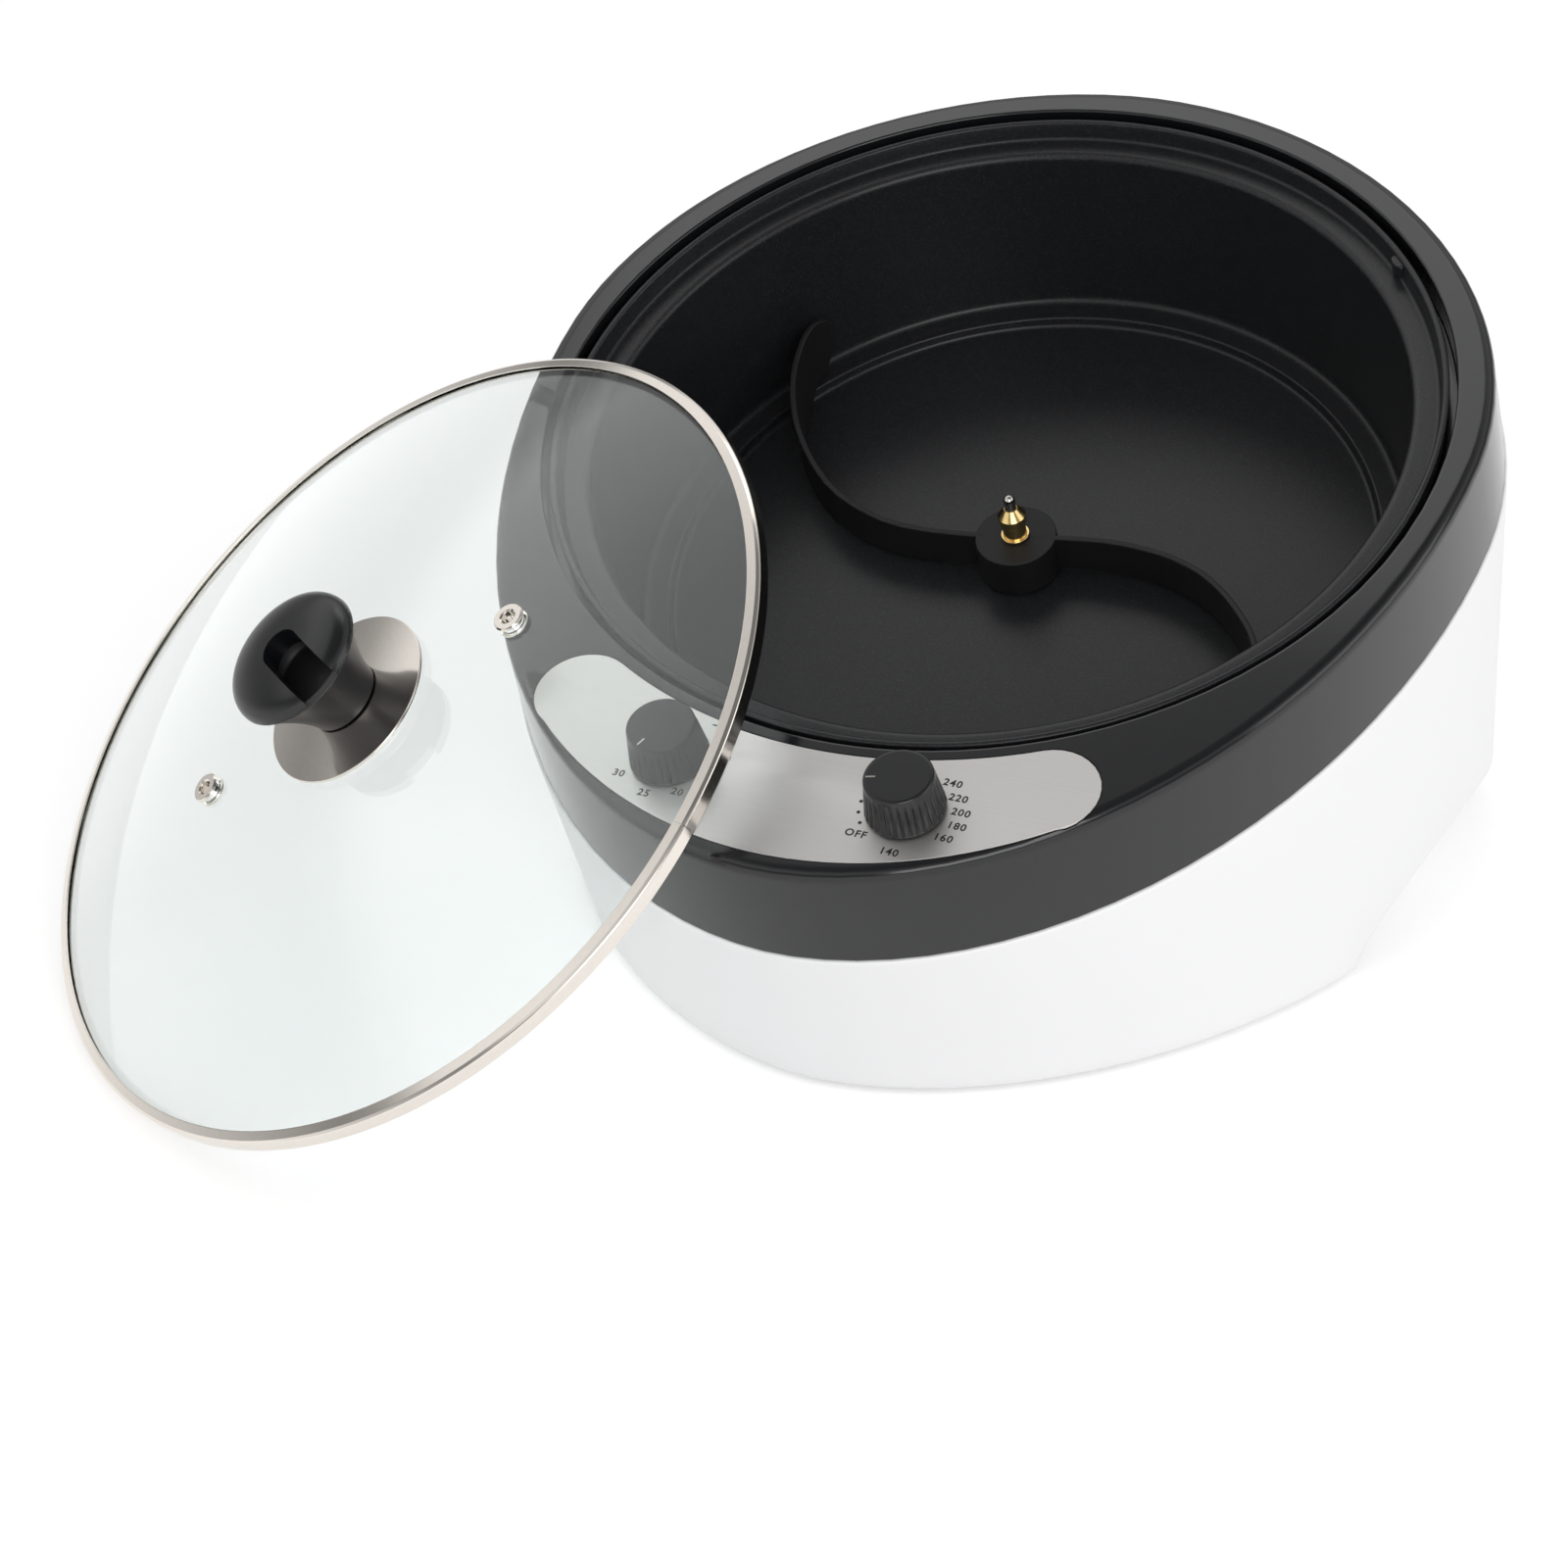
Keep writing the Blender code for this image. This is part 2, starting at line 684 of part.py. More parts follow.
# Shaft bush through the pot's floor
bush_top = floor_top + gap + bush_flange_height
blade_foot = floor_top + gap + bush_flange_height + stirrer_lift
shaft_hole_radius = shaft_radius + running_gap
turned("shaft_bush", [(shaft_hole_radius, bush_top), (bush_flange_radius, bush_top),
                      (bush_flange_radius, floor_top + gap), (bush_radius, floor_top + gap),
                      (bush_radius, floor_under - pot_wall),
                      (shaft_hole_radius, floor_under - pot_wall)],
       ((0.62, 0.5, 0.3), 0.4, 1.0), parent=pot_frame, steps=sides_small, closed=True)

# Stirrer: one S-shaped strip on edge, thickened by its hub
stirrer_foot = floor_top + stirrer_lift
hub_top = stirrer_foot + hub_height


def blade_rows():
    """Four-cornered sections along the strip, from one tip through the hub to the other."""
    arm = [Vector((-x, y)) * blade_reach for x, y in arm_path_shares]
    tops = [share * tip_height for share in arm_top_shares]
    bottoms = [share * tip_height for share in arm_bottom_shares]
    path = [-point for point in arm[:0:-1]] + arm
    tops = tops[:0:-1] + tops
    bottoms = bottoms[:0:-1] + bottoms
    rows = []
    for i, middle in enumerate(path):
        ahead = path[min(i + 1, len(path) - 1)] - path[max(i - 1, 0)]
        across = Vector((-ahead.y, ahead.x)).normalized() * blade_half_width
        low = stirrer_foot + bottoms[i]
        high = stirrer_foot + tops[i]
        left = middle + across
        right = middle - across
        rows.append([(right.x, right.y, low), (left.x, left.y, low),
                     (left.x, left.y, high), (right.x, right.y, high)])
    return rows


stirrer_blade = add("stirrer_blade", capped_mesh("stirrer_blade", blade_rows()),
                    ((0.06, 0.06, 0.062), 0.45), parent=pot_frame)
hub = rod("hub", hub_radius, stirrer_foot, hub_top, parent=pot_frame, sides=sides_medium)
cut(stirrer_blade, hub, "UNION")
hub_bore = rod("hub_bore", shaft_radius + gap, stirrer_foot - overrun, hub_top + tip_height,
               parent=pot_frame)
cut(stirrer_blade, hub_bore)
bush_space = rod("bush_space", bush_flange_radius + running_gap, stirrer_foot - overrun,
                 blade_foot, parent=pot_frame)
cut(stirrer_blade, bush_space)

nut_foot = hub_top + gap
nut_top = nut_foot + nut_height
nut_bore = shaft_neck_radius + gap
nut_shoulder = nut_radius - nut_wall
nut_side = nut_bore + nut_wall
turned("stirrer_nut", [(nut_bore, nut_top), (nut_side, nut_top),
                       (nut_radius, nut_top - nut_cone_height),
                       (nut_radius, nut_foot + nut_neck_height + nut_wall),
                       (nut_shoulder, nut_foot + nut_neck_height),
                       (nut_neck_radius, nut_foot + nut_neck_height),
                       (nut_neck_radius, nut_foot + nut_flange_height),
                       (nut_flange_radius, nut_foot + nut_flange_height),
                       (nut_flange_radius, nut_foot), (nut_bore, nut_foot)],
       ((0.78, 0.62, 0.36), 0.25, 1.0), parent=pot_frame, steps=sides_small, closed=True)

# Heater, thermal cutout and heat shield under the pot
heater_under = floor_under - gap
heater_centre = heater_under - heater_tube_radius
heater_curve = bpy.data.curves.new("heater", "CURVE")
heater_curve.dimensions = "3D"
heater_curve.bevel_depth = heater_tube_radius
heater_curve.bevel_resolution = 2
heater_curve.use_fill_caps = True
heater_path = []
arc_steps = 26
for i in range(arc_steps + 1):
    turn = math.pi / 2 + heater_opening / 2 + (2 * math.pi - heater_opening) * i / arc_steps
    heater_path.append(Vector((heater_radius * math.cos(turn), heater_radius * math.sin(turn),
                               heater_centre)))
bend_steps = 4
for first, end in ((True, heater_path[0]), (False, heater_path[-1])):
    inward = math.copysign(heater_bend, -end.x)
    leg = []
    for i in range(1, bend_steps + 1):
        swing = math.pi / 2 * i / bend_steps
        leg.append(Vector((end.x + inward * math.sin(swing), end.y,
                           heater_centre - heater_bend * (1 - math.cos(swing)))))
    leg.append(leg[-1] - Vector((0, 0, heater_leg)))
    heater_path = leg[::-1] + heater_path if first else heater_path + leg
heater_spline = heater_curve.splines.new("POLY")
heater_spline.points.add(len(heater_path) - 1)
for point, place in zip(heater_spline.points, heater_path):
    point.co = (*place, 1)
heater = bpy.data.objects.new("heating_element", heater_curve)
parts.objects.link(heater)
heater.parent = pot_frame
heater_curve.materials.append(material("heating_element_finish", (0.45, 0.44, 0.43), 0.5, 1.0))

turned("thermal_cutout", [(0, heater_under), (cutout_radius, heater_under),
                          (cutout_radius, heater_under - cutout_height),
                          (0, heater_under - cutout_height)],
       (steel, 0.4, 1.0), parent=pot_frame, place=(cutout_place, 0, 0), steps=sides_small)

shield_floor = floor_under - shield_space
heat_shield = turned("heat_shield",
                     [(shield_rim_radius, -seat_foot - gap),
                      (shield_top_radius + shield_wall * 2, -seat_foot - gap),
                      (shield_top_radius, -seat_foot - gap - shield_wall * 2),
                      (shield_foot_radius, shield_floor + shield_wall * 4),
                      (shield_foot_radius - shield_wall * 4, shield_floor),
                      (shaft_hole_radius + gap, shield_floor)][::-1],
                     ((0.7, 0.7, 0.7), 0.35, 1.0), parent=pot_frame, steps=sides_round)
solid_wall(heat_shield, shield_wall)

# Gear motor under the shield
case_top = shield_floor - shield_wall - gap
upper_gear_top = case_top - case_wall - gap
upper_gear_foot = upper_gear_top - gear_width
lower_gear_top = upper_gear_foot - gear_space
lower_gear_foot = lower_gear_top - gear_width
case_foot = lower_gear_foot - gap
cover_foot = case_foot - case_wall - gap
output_span = gear_module * (output_teeth + pinion_teeth) / 2
motor_span = gear_module * (middle_teeth + motor_teeth) / 2
middle_place = (-output_span, 0)
motor_lean = math.radians(-60)
motor_place = (middle_place[0] + motor_span * math.cos(motor_lean),
               middle_place[1] + motor_span * math.sin(motor_lean))
case_place = (middle_place[0] / 3, motor_place[1] / 4)


def gear_outline(teeth, phase):
    """A toothed outline with straight flanks."""
    pitch = gear_module * teeth / 2
    root = pitch - gear_module * 1.2
    tip = pitch + gear_module * 0.9
    step = 2 * math.pi / teeth
    slack = tooth_backlash_share * step / 2
    points = []
    for tooth in range(teeth):
        middle = phase + tooth * step
        for radius, spread in ((root, -0.36), (tip, -0.14), (tip, 0.14), (root, 0.36)):
            turn = middle + spread * step - math.copysign(slack / 2, spread)
            points.append((radius * math.cos(turn), radius * math.sin(turn)))
    return points


def gear(name, teeth, phase, low, high, bore, look, parent):
    """A spur gear with a plain bore."""
    return flat(name, [gear_outline(teeth, phase), circle(bore, sides_small)], low, high, look,
                parent)


brass_look = ((0.72, 0.58, 0.35), 0.35, 1.0)
nylon_look = ((0.88, 0.86, 0.78), 0.5)
middle_axis = empty("middle_axis", (*middle_place, 0), parent=pot_frame)
motor_axis = empty("motor_axis", (*motor_place, 0), parent=pot_frame)
shaft_bore = shaft_radius + gap
axle_bore = axle_radius + gap
output_step = 2 * math.pi / output_teeth
pinion_step = 2 * math.pi / pinion_teeth
middle_step = 2 * math.pi / middle_teeth
motor_step = 2 * math.pi / motor_teeth
gear("output_gear", output_teeth, math.pi, upper_gear_foot, upper_gear_top, shaft_bore,
     nylon_look, pot_frame)
gear("middle_pinion", pinion_teeth, pinion_step / 2, upper_gear_foot, upper_gear_top, axle_bore,
     brass_look, middle_axis)
gear("middle_gear", middle_teeth, motor_lean, lower_gear_foot, lower_gear_top, axle_bore,
     nylon_look, middle_axis)
gear("motor_pinion", motor_teeth, motor_lean + math.pi + motor_step / 2, lower_gear_foot,
     lower_gear_top, axle_bore, brass_look, motor_axis)
rod("middle_axle", axle_radius, cover_foot + gap, case_top - gap, (steel, 0.3, 1.0), middle_axis)

gear_case = flat("gear_case", [circle(case_radius, sides_medium)], case_foot, case_top,
                 ((0.6, 0.6, 0.6), 0.4, 1.0), parent=pot_frame, place=(*case_place, 0))
case_hollow = rod("case_hollow", case_radius - case_wall, case_foot - overrun,
                  case_top - case_wall, parent=pot_frame, place=(*case_place, 0),
                  sides=sides_medium)
cut(gear_case, case_hollow)
case_shaft_hole = rod("case_shaft_hole", shaft_hole_radius, case_foot, case_top + overrun,
                      parent=pot_frame)
cut(gear_case, case_shaft_hole)
case_axle_hole = rod("case_axle_hole", axle_bore, case_foot, case_top + overrun,
                     parent=pot_frame, place=(*middle_place, 0))
cut(gear_case, case_axle_hole)


def about(middle, points):
    """Points moved to lie about a place."""
    return [(x + middle[0], y + middle[1]) for x, y in points]


flat("gear_case_cover",
     [about(case_place, circle(case_radius, sides_medium)),
      about((0, 0), circle(shaft_hole_radius, sides_small)),
      about(middle_place, circle(axle_bore, sides_small)),
      about(motor_place, circle(axle_radius + running_gap, sides_small))],
     cover_foot, case_foot - gap, ((0.6, 0.6, 0.6), 0.4, 1.0), parent=pot_frame)

can_top = cover_foot - gap
motor_can = turned("motor_can", [(0, can_top - can_height), (can_radius - case_corner_radius * 2,
                                                             can_top - can_height),
                                 (can_radius, can_top - can_height + case_corner_radius * 2),
                                 (can_radius, can_top)][::-1],
                   ((0.55, 0.55, 0.56), 0.4, 1.0), parent=motor_axis)
solid_wall(motor_can, case_wall)
rotor_top = can_top - case_wall
rotor_foot = can_top - can_height + case_wall + running_gap
turned("motor_rotor", [(0, lower_gear_top), (axle_radius, lower_gear_top),
                       (axle_radius, rotor_top), (rotor_radius, rotor_top),
                       (rotor_radius, rotor_foot), (0, rotor_foot)],
       ((0.25, 0.25, 0.27), 0.4, 1.0), parent=motor_axis, steps=sides_small)
stator_radius = can_radius - case_wall - gap
turned("motor_stator", [(rotor_radius + running_gap * 2, rotor_top), (stator_radius, rotor_top),
                        (stator_radius, rotor_foot + case_corner_radius * 2),
                        (rotor_radius + running_gap * 2, rotor_foot + case_corner_radius * 2)],
       ((0.6, 0.32, 0.15), 0.4, 0.8), parent=motor_axis, steps=sides_medium, closed=True)

shaft_foot = cover_foot
shaft_end = nut_top + shaft_tip_height
shaft_dome = shaft_neck_radius
turned("drive_shaft", [(0, shaft_end), (shaft_dome / 2, shaft_end - shaft_dome / 8),
                       (shaft_dome, shaft_end - shaft_dome / 2),
                       (shaft_dome, hub_top), (shaft_radius, hub_top),
                       (shaft_radius, shaft_foot), (0, shaft_foot)],
       (steel, 0.2, 1.0), parent=pot_frame, steps=sides_small)


# Dial knobs and the controls that they turn
def knob(name, x, y):
    """A fluted knob whose origin is on its axis, in the panel's plane."""
    low = panel_high + knob_lift
    high = low + knob_height
    columns = knob_flutes * 2
    profile = [(knob_foot_radius, low, 0), (knob_foot_radius, low + knob_chamfer / 2, 1),
               (knob_top_radius + flute_depth, high - knob_chamfer * 2, 1),
               (knob_top_radius, high - knob_chamfer * 1.5, 0),
               (knob_top_radius, high - knob_chamfer / 2, 0),
               (knob_top_radius - knob_chamfer / 2, high, 0)]
    rows = []
    for radius, height, fluted in profile:
        row = []
        for column, turn in enumerate(turns(columns)):
            reach = radius - (flute_depth if fluted and column % 2 else 0)
            row.append((reach * math.cos(turn), reach * math.sin(turn), height))
        rows.append(row)
    piece = add(name, capped_mesh(name, rows), (black_plastic, 0.2), pot_frame, (x, y, 0))
    bore = rod(f"{name}_bore", dial_shaft_radius + gap, low - overrun, low + knob_bore_depth,
               parent=pot_frame, place=(x, y, 0))
    cut(piece, bore)
    smooth(piece, math.radians(20))
    return low + knob_bore_depth - gap


def control(name, size, dial):
    """A control body under the ring, with a bush hole for its shaft."""
    x, y = dials[dial]
    width, depth, height = size
    top = -top_wall - gap
    piece = box(name, (x - width / 2, y - depth / 2, top - height),
                (x + width / 2, y + depth / 2, top), ((0.75, 0.74, 0.7), 0.5), pot_frame,
                control_edge)
    bore = rod(f"{name}_bore", dial_hole_radius, top - height / 2, top + overrun,
               parent=pot_frame, place=(x, y, 0))
    cut(piece, bore)
    return top - height / 2 + running_gap


for dial, body_name, size in (("timer", "timer_body", timer_size),
                              ("temperature", "thermostat_body", thermostat_size)):
    shaft_high = knob(f"{dial}_knob", *dials[dial])
    shaft_low = control(body_name, size, dial)
    rod(f"{dial}_shaft", dial_shaft_radius, shaft_low, shaft_high, (steel, 0.3, 1.0), pot_frame,
        (*dials[dial], 0))

# Mains inlet bush at the back, and the terminal block on the cover
gland_turn = (-math.pi / 2, 0, 0)


def shell_back(height):
    """How far back the shell's outer side stands at a height, behind the pot axis."""
    section_low = foot_back
    high = in_world(0, ring_back + band_flare + shell_proud, -band_height - gap)
    share = (height + skirt_drop) / (high.z + skirt_drop)
    return section_low + (high.y - section_low) * share


gland_face = shell_back(gland_height + gland_flange_radius) + gap
turned("cord_gland", [(gland_bore_radius, gland_face + gland_flange_width),
                      (gland_flange_radius - gland_flange_width / 2,
                       gland_face + gland_flange_width),
                      (gland_flange_radius, gland_face + gland_flange_width / 2),
                      (gland_flange_radius, gland_face), (gland_radius, gland_face),
                      (gland_radius, gland_face - gland_length),
                      (gland_bore_radius, gland_face - gland_length)],
       ((0.1, 0.1, 0.1), 0.6), place=(0, 0, gland_height), turn=gland_turn, steps=sides_small,
       closed=True)
block_width, block_depth, block_height = terminal_size
box("terminal_block", (-block_width / 2, terminal_place - block_depth / 2, cover_wall + gap),
    (block_width / 2, terminal_place + block_depth / 2, cover_wall + gap + block_height),
    ((0.9, 0.88, 0.82), 0.5), edge=control_edge)

# Lid: domed glass in a steel rim. Heights are along the lid's axis from the rim's plane
glass_radius = lid_radius - rim_sheet - gap * 2
dome_radius = (glass_radius ** 2 + lid_rise ** 2) / (2 * lid_rise)
dome_middle = glass_edge_height + lid_rise - dome_radius


def dome(radius, above=0.0):
    """Height of the glass's outer face at a radius, or of a surface parallel to it."""
    return dome_middle + math.sqrt((dome_radius + above) ** 2 - radius ** 2)


lap_radius = lid_radius - rim_lap
lap_top = dome(lap_radius) + gap
lap_foot = dome(lap_radius, -glass_wall) - gap
wall_top = dome(glass_radius) + gap
wall_foot = dome(glass_radius, -glass_wall) - gap
channel_radius = glass_radius + gap
rim_profile = [(lap_radius, lap_top + rim_sheet), (channel_radius, wall_top + rim_sheet),
               (lid_radius, wall_top), (lid_radius, wall_foot),
               (channel_radius, wall_foot - rim_sheet), (lap_radius, lap_foot - rim_sheet),
               (lap_radius, lap_foot), (channel_radius, wall_foot),
               (channel_radius, wall_top), (lap_radius, lap_top)]

# The lid stands on the worktop: its frame is as high as its rim reaches below it
rim_reach = max(radius * math.sin(lid_tilt) - height * math.cos(lid_tilt)
                for radius, height in rim_profile)
lid_frame = empty("lid_frame", (*lid_middle, rim_reach - stand_height), (lid_tilt, 0, lid_turn))

dome_steps = 6
glass_profile = [(glass_radius * (i / dome_steps), dome(glass_radius * i / dome_steps))
                 for i in range(dome_steps + 1)]
lid_glass = turned("lid_glass", glass_profile, ((0.88, 0.93, 0.91), 0.05), lid_frame,
                   steps=sides_round)
solid_wall(lid_glass, glass_wall)
screw_hole = rod("lid_screw_hole", lid_screw_radius + gap, 0, lid_rise + lid_knob_height,
                 parent=lid_frame)
cut(lid_glass, screw_hole)
eyelet_lean = math.asin(vent_place / dome_radius)
for index, turn in enumerate((vent_turn, vent_turn + math.pi)):
    hole = rod(f"lid_vent_{index}", eyelet_barrel_radius + gap, -lid_rise, lid_rise,
               parent=lid_frame, turn=(0, eyelet_lean, turn),
               place=(vent_place * math.cos(turn), vent_place * math.sin(turn),
                      dome(vent_place)))
    cut(lid_glass, hole)
    high = gap + eyelet_lip
    low = -glass_wall - gap - eyelet_lip
    ease = eyelet_lip / 2
    turned(("vent_eyelet_upper", "vent_eyelet_lower")[index],
           [(eyelet_bore_radius, high - ease), (eyelet_bore_radius + ease, high),
            (eyelet_radius - ease, high), (eyelet_radius, high - ease), (eyelet_radius, gap),
            (eyelet_barrel_radius, gap), (eyelet_barrel_radius, low + eyelet_lip),
            (eyelet_radius, low + eyelet_lip), (eyelet_radius, low + ease),
            (eyelet_radius - ease, low), (eyelet_bore_radius + ease, low),
            (eyelet_bore_radius, low + ease)],
           (steel, 0.2, 1.0), lid_frame, steps=sides_small, closed=True,
           turn=(0, eyelet_lean, turn),
           place=(vent_place * math.cos(turn), vent_place * math.sin(turn), dome(vent_place)))

turned("lid_rim", rim_profile, (steel, 0.15, 1.0), lid_frame, steps=sides_round, closed=True)

disc_steps = 2
disc_hole = lid_screw_radius + gap
disc_radii = [disc_hole + (disc_radius - disc_hole) * i / disc_steps for i in range(disc_steps + 1)]
disc_high = [(radius, dome(radius) + gap + disc_wall) for radius in disc_radii]
disc_low = [(radius, dome(radius) + gap) for radius in disc_radii[::-1]]
turned("lid_plate", disc_high + disc_low, (steel, 0.12, 1.0), lid_frame, closed=True)

knob_low = dome(lid_screw_radius) + gap * 2 + disc_wall
knob_rim = knob_low + lid_knob_height
knob_edge = lid_knob_radius - rim_sheet
flare_steps = 6
lid_knob_profile = [(0, knob_rim), (knob_edge, knob_rim)]
for i in range(1, flare_steps + 1):
    share = 1 - i / flare_steps
    lid_knob_profile.append((lid_knob_foot_radius
                             + (knob_edge - lid_knob_foot_radius) * share ** lid_knob_flare,
                             knob_low + share * lid_knob_height))
lid_knob_profile.append((0, knob_low))
lid_knob_base = turned("lid_knob_base", lid_knob_profile, ((0.1, 0.1, 0.1), 0.4), lid_frame)
knob_thread = rod("knob_thread", lid_screw_radius + gap, knob_low - overrun,
                  knob_low + lid_screw_grip + gap, parent=lid_frame)
cut(lid_knob_base, knob_thread)

cap_low = knob_rim + gap
cap_profile_shares = ((1.0, 0.0), (0.985, 0.28), (0.93, 0.55), (0.8, 0.78), (0.5, 0.95), (0, 1.0))
cap_profile = [(lid_knob_radius * reach, cap_low + cap_height * up)
               for reach, up in cap_profile_shares[::-1]] + [(0, cap_low)]
lid_knob_cap = turned("lid_knob_cap", cap_profile, (black_plastic, 0.12), lid_frame)
slot_points = [(slot_half_width * math.cos(math.pi / 2 + math.pi * i / 10),
                slot_half_width * math.sin(math.pi / 2 + math.pi * i / 10)) for i in range(11)]
slot_points += [(lid_knob_radius + overrun, -slot_half_width),
                (lid_knob_radius + overrun, slot_half_width)]
slot = flat("cap_slot", [slot_points], cap_low - overrun, cap_low + cap_height + overrun,
            parent=lid_frame)
cut(lid_knob_cap, slot)

washer_top = dome(washer_radius, -glass_wall) - gap
washer_foot = washer_top - washer_height
turned("lid_washer", [(disc_hole, washer_top), (washer_radius, washer_top),
                      (washer_radius, washer_foot), (disc_hole, washer_foot)],
       ((0.15, 0.15, 0.15), 0.7), lid_frame, steps=sides_small, closed=True)
head_top = washer_foot - gap
head_ease = lid_screw_head_height / 3
turned("lid_screw", [(0, knob_low + lid_screw_grip), (lid_screw_radius, knob_low + lid_screw_grip),
                     (lid_screw_radius, head_top), (lid_screw_head_radius, head_top),
                     (lid_screw_head_radius, head_top - lid_screw_head_height + head_ease),
                     (lid_screw_head_radius - head_ease, head_top - lid_screw_head_height),
                     (0, head_top - lid_screw_head_height)],
       (steel, 0.25, 1.0), lid_frame, steps=sides_small)
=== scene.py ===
import math

import bmesh
import bpy
from mathutils import Matrix, Vector


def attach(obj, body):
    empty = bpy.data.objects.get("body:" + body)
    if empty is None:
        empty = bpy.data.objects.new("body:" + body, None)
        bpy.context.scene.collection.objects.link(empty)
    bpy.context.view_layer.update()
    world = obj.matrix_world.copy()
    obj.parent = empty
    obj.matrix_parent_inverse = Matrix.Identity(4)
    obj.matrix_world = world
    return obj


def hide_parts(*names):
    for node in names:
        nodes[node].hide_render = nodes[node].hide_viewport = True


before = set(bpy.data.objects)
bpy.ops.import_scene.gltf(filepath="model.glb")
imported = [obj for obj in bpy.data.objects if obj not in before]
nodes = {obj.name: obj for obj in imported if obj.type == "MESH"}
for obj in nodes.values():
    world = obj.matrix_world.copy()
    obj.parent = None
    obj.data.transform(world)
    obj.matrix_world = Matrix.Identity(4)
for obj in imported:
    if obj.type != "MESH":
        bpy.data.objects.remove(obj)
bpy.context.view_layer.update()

# White lower shell: one injection moulding in white ABS with a satin polish, 2.5 mm thick. It
# runs from a nearly round foot up to the egg-shaped ring, with a hand arch under each side and
# four screw bosses inside. The band of the ring stands over its rounded upper lip.
slope = math.radians(16.8)
mouth_height = 0.1342
ring_half_width, ring_back, ring_front = 0.1359, 0.1366, 0.1715
ring_widest, ring_power = 0.0082, 1.92
band_height, band_flare, shell_proud = 0.032, 0.0018, 0.0006
foot_half_width, foot_back, foot_front = 0.1377, 0.137, 0.138
foot_widest, foot_power, skirt_drop = 0.0289, 1.8, 0.001
shell_wall, shell_edge, seam, weld = 0.0025, 0.0007, 0.0003, 0.000004
arch_middle, arch_half_length, arch_height, arch_power = 0.0143, 0.054, 0.027, 1.7
pot_place = Matrix.Translation((0, 0, mouth_height)) @ Matrix.Rotation(slope, 4, "X")


def srgb(code):
    """A hex colour as the linear colour that a shader takes."""
    shares = [int(code[i:i + 2], 16) / 255 for i in (0, 2, 4)]
    return (*[s / 12.92 if s <= 0.04045 else ((s + 0.055) / 1.055) ** 2.4 for s in shares], 1)


def put(tree, kind, values=(), links=(), **settings):
    """A node of a kind, with its settings, its input values and what feeds its inputs."""
    node = tree.nodes.new(kind)
    for name, setting in settings.items():
        setattr(node, name, setting)
    for socket, value in dict(values).items():
        node.inputs[socket].default_value = value
    for socket, source in dict(links).items():
        tree.links.new(source, node.inputs[socket])
    return node


def finish_of(name):
    """An empty material and its node tree."""
    made = bpy.data.materials.new(name)
    made.use_nodes = True
    made.node_tree.nodes.clear()
    return made, made.node_tree


def seal(tree, shader):
    """Send a shader to the material's surface."""
    put(tree, "ShaderNodeOutputMaterial", links={"Surface": shader.outputs[0]})


def oval(half_width, back, front, widest, power, turn):
    """A point on an outline of two half ovals that meet where it is widest."""
    side, ahead = math.cos(turn), math.sin(turn)
    reach = back - widest if ahead > 0 else front + widest
    return Vector((half_width * math.copysign(abs(side) ** (2 / power), side),
                   widest + reach * math.copysign(abs(ahead) ** (2 / power), ahead)))


def ring_edge(growth, turn):
    """The ring's outer edge in its own plane, grown by a length."""
    return oval(ring_half_width + growth, ring_back + growth, ring_front + growth, ring_widest,
                ring_power, turn)


def added(name, data):
    """An object that holds some data, in the scene."""
    made = bpy.data.objects.new(name, data)
    bpy.context.scene.collection.objects.link(made)
    return made


def piece_of(name, build, look, crease=40, place=None):
    """A finished piece from a bmesh: placed, faces outward, smooth but for creases in degrees."""
    bmesh.ops.remove_doubles(build, verts=build.verts, dist=weld)
    bmesh.ops.recalc_face_normals(build, faces=build.faces)
    mesh = bpy.data.meshes.new(name)
    build.to_mesh(mesh)
    build.free()
    if place:
        mesh.transform(place)
    mesh.materials.append(look)
    mesh.shade_smooth()
    mesh.set_sharp_from_angle(angle=math.radians(crease))
    return added(name, mesh)


def loop_faces(build, rows, round_rows=True, round_columns=True):
    """Faces between rows of points, which may close on themselves either way."""
    grid = [[build.verts.new(point) for point in row] for row in rows]
    count = len(grid[0])
    for r in range(len(grid) if round_rows else len(grid) - 1):
        lower, upper = grid[r], grid[(r + 1) % len(grid)]
        for c in range(count if round_columns else count - 1):
            d = (c + 1) % count
            build.faces.new((lower[c], lower[d], upper[d], upper[c]))
    return grid


def plain_mesh(thing):
    """The mesh that an object shows, with its modifiers, filling and bevel worked out."""
    bpy.context.view_layer.update()
    return bpy.data.meshes.new_from_object(
        thing.evaluated_get(bpy.context.evaluated_depsgraph_get()))


def applied(piece):
    """The piece with its modifiers made part of its mesh."""
    mesh = plain_mesh(piece)
    piece.modifiers.clear()
    piece.data = mesh
    return piece


def hollowed(piece, *cutters, crease=35):
    """Exact Booleans with cutters that are then thrown away."""
    for cutter in cutters:
        step = piece.modifiers.new(cutter.name, "BOOLEAN")
        step.operation, step.solver, step.object = "DIFFERENCE", "EXACT", cutter
    applied(piece)
    piece.data.set_sharp_from_angle(angle=math.radians(crease))
    for cutter in cutters:
        bpy.data.objects.remove(cutter, do_unlink=True)
    return piece


def joined(build, rings, closed):
    """Faces between rings of points, where a ring may be one point on the axis."""
    steps = max(len(ring) for ring in rings)
    for lower, upper in list(zip(rings, rings[1:])) + ([(rings[-1], rings[0])] if closed else []):
        for i in range(steps):
            j = (i + 1) % steps
            corners = [lower[i % len(lower)], lower[j % len(lower)],
                       upper[j % len(upper)], upper[i % len(upper)]]
            corners = [c for n, c in enumerate(corners) if c not in corners[:n]]
            if len(corners) > 2:
                build.faces.new(corners)


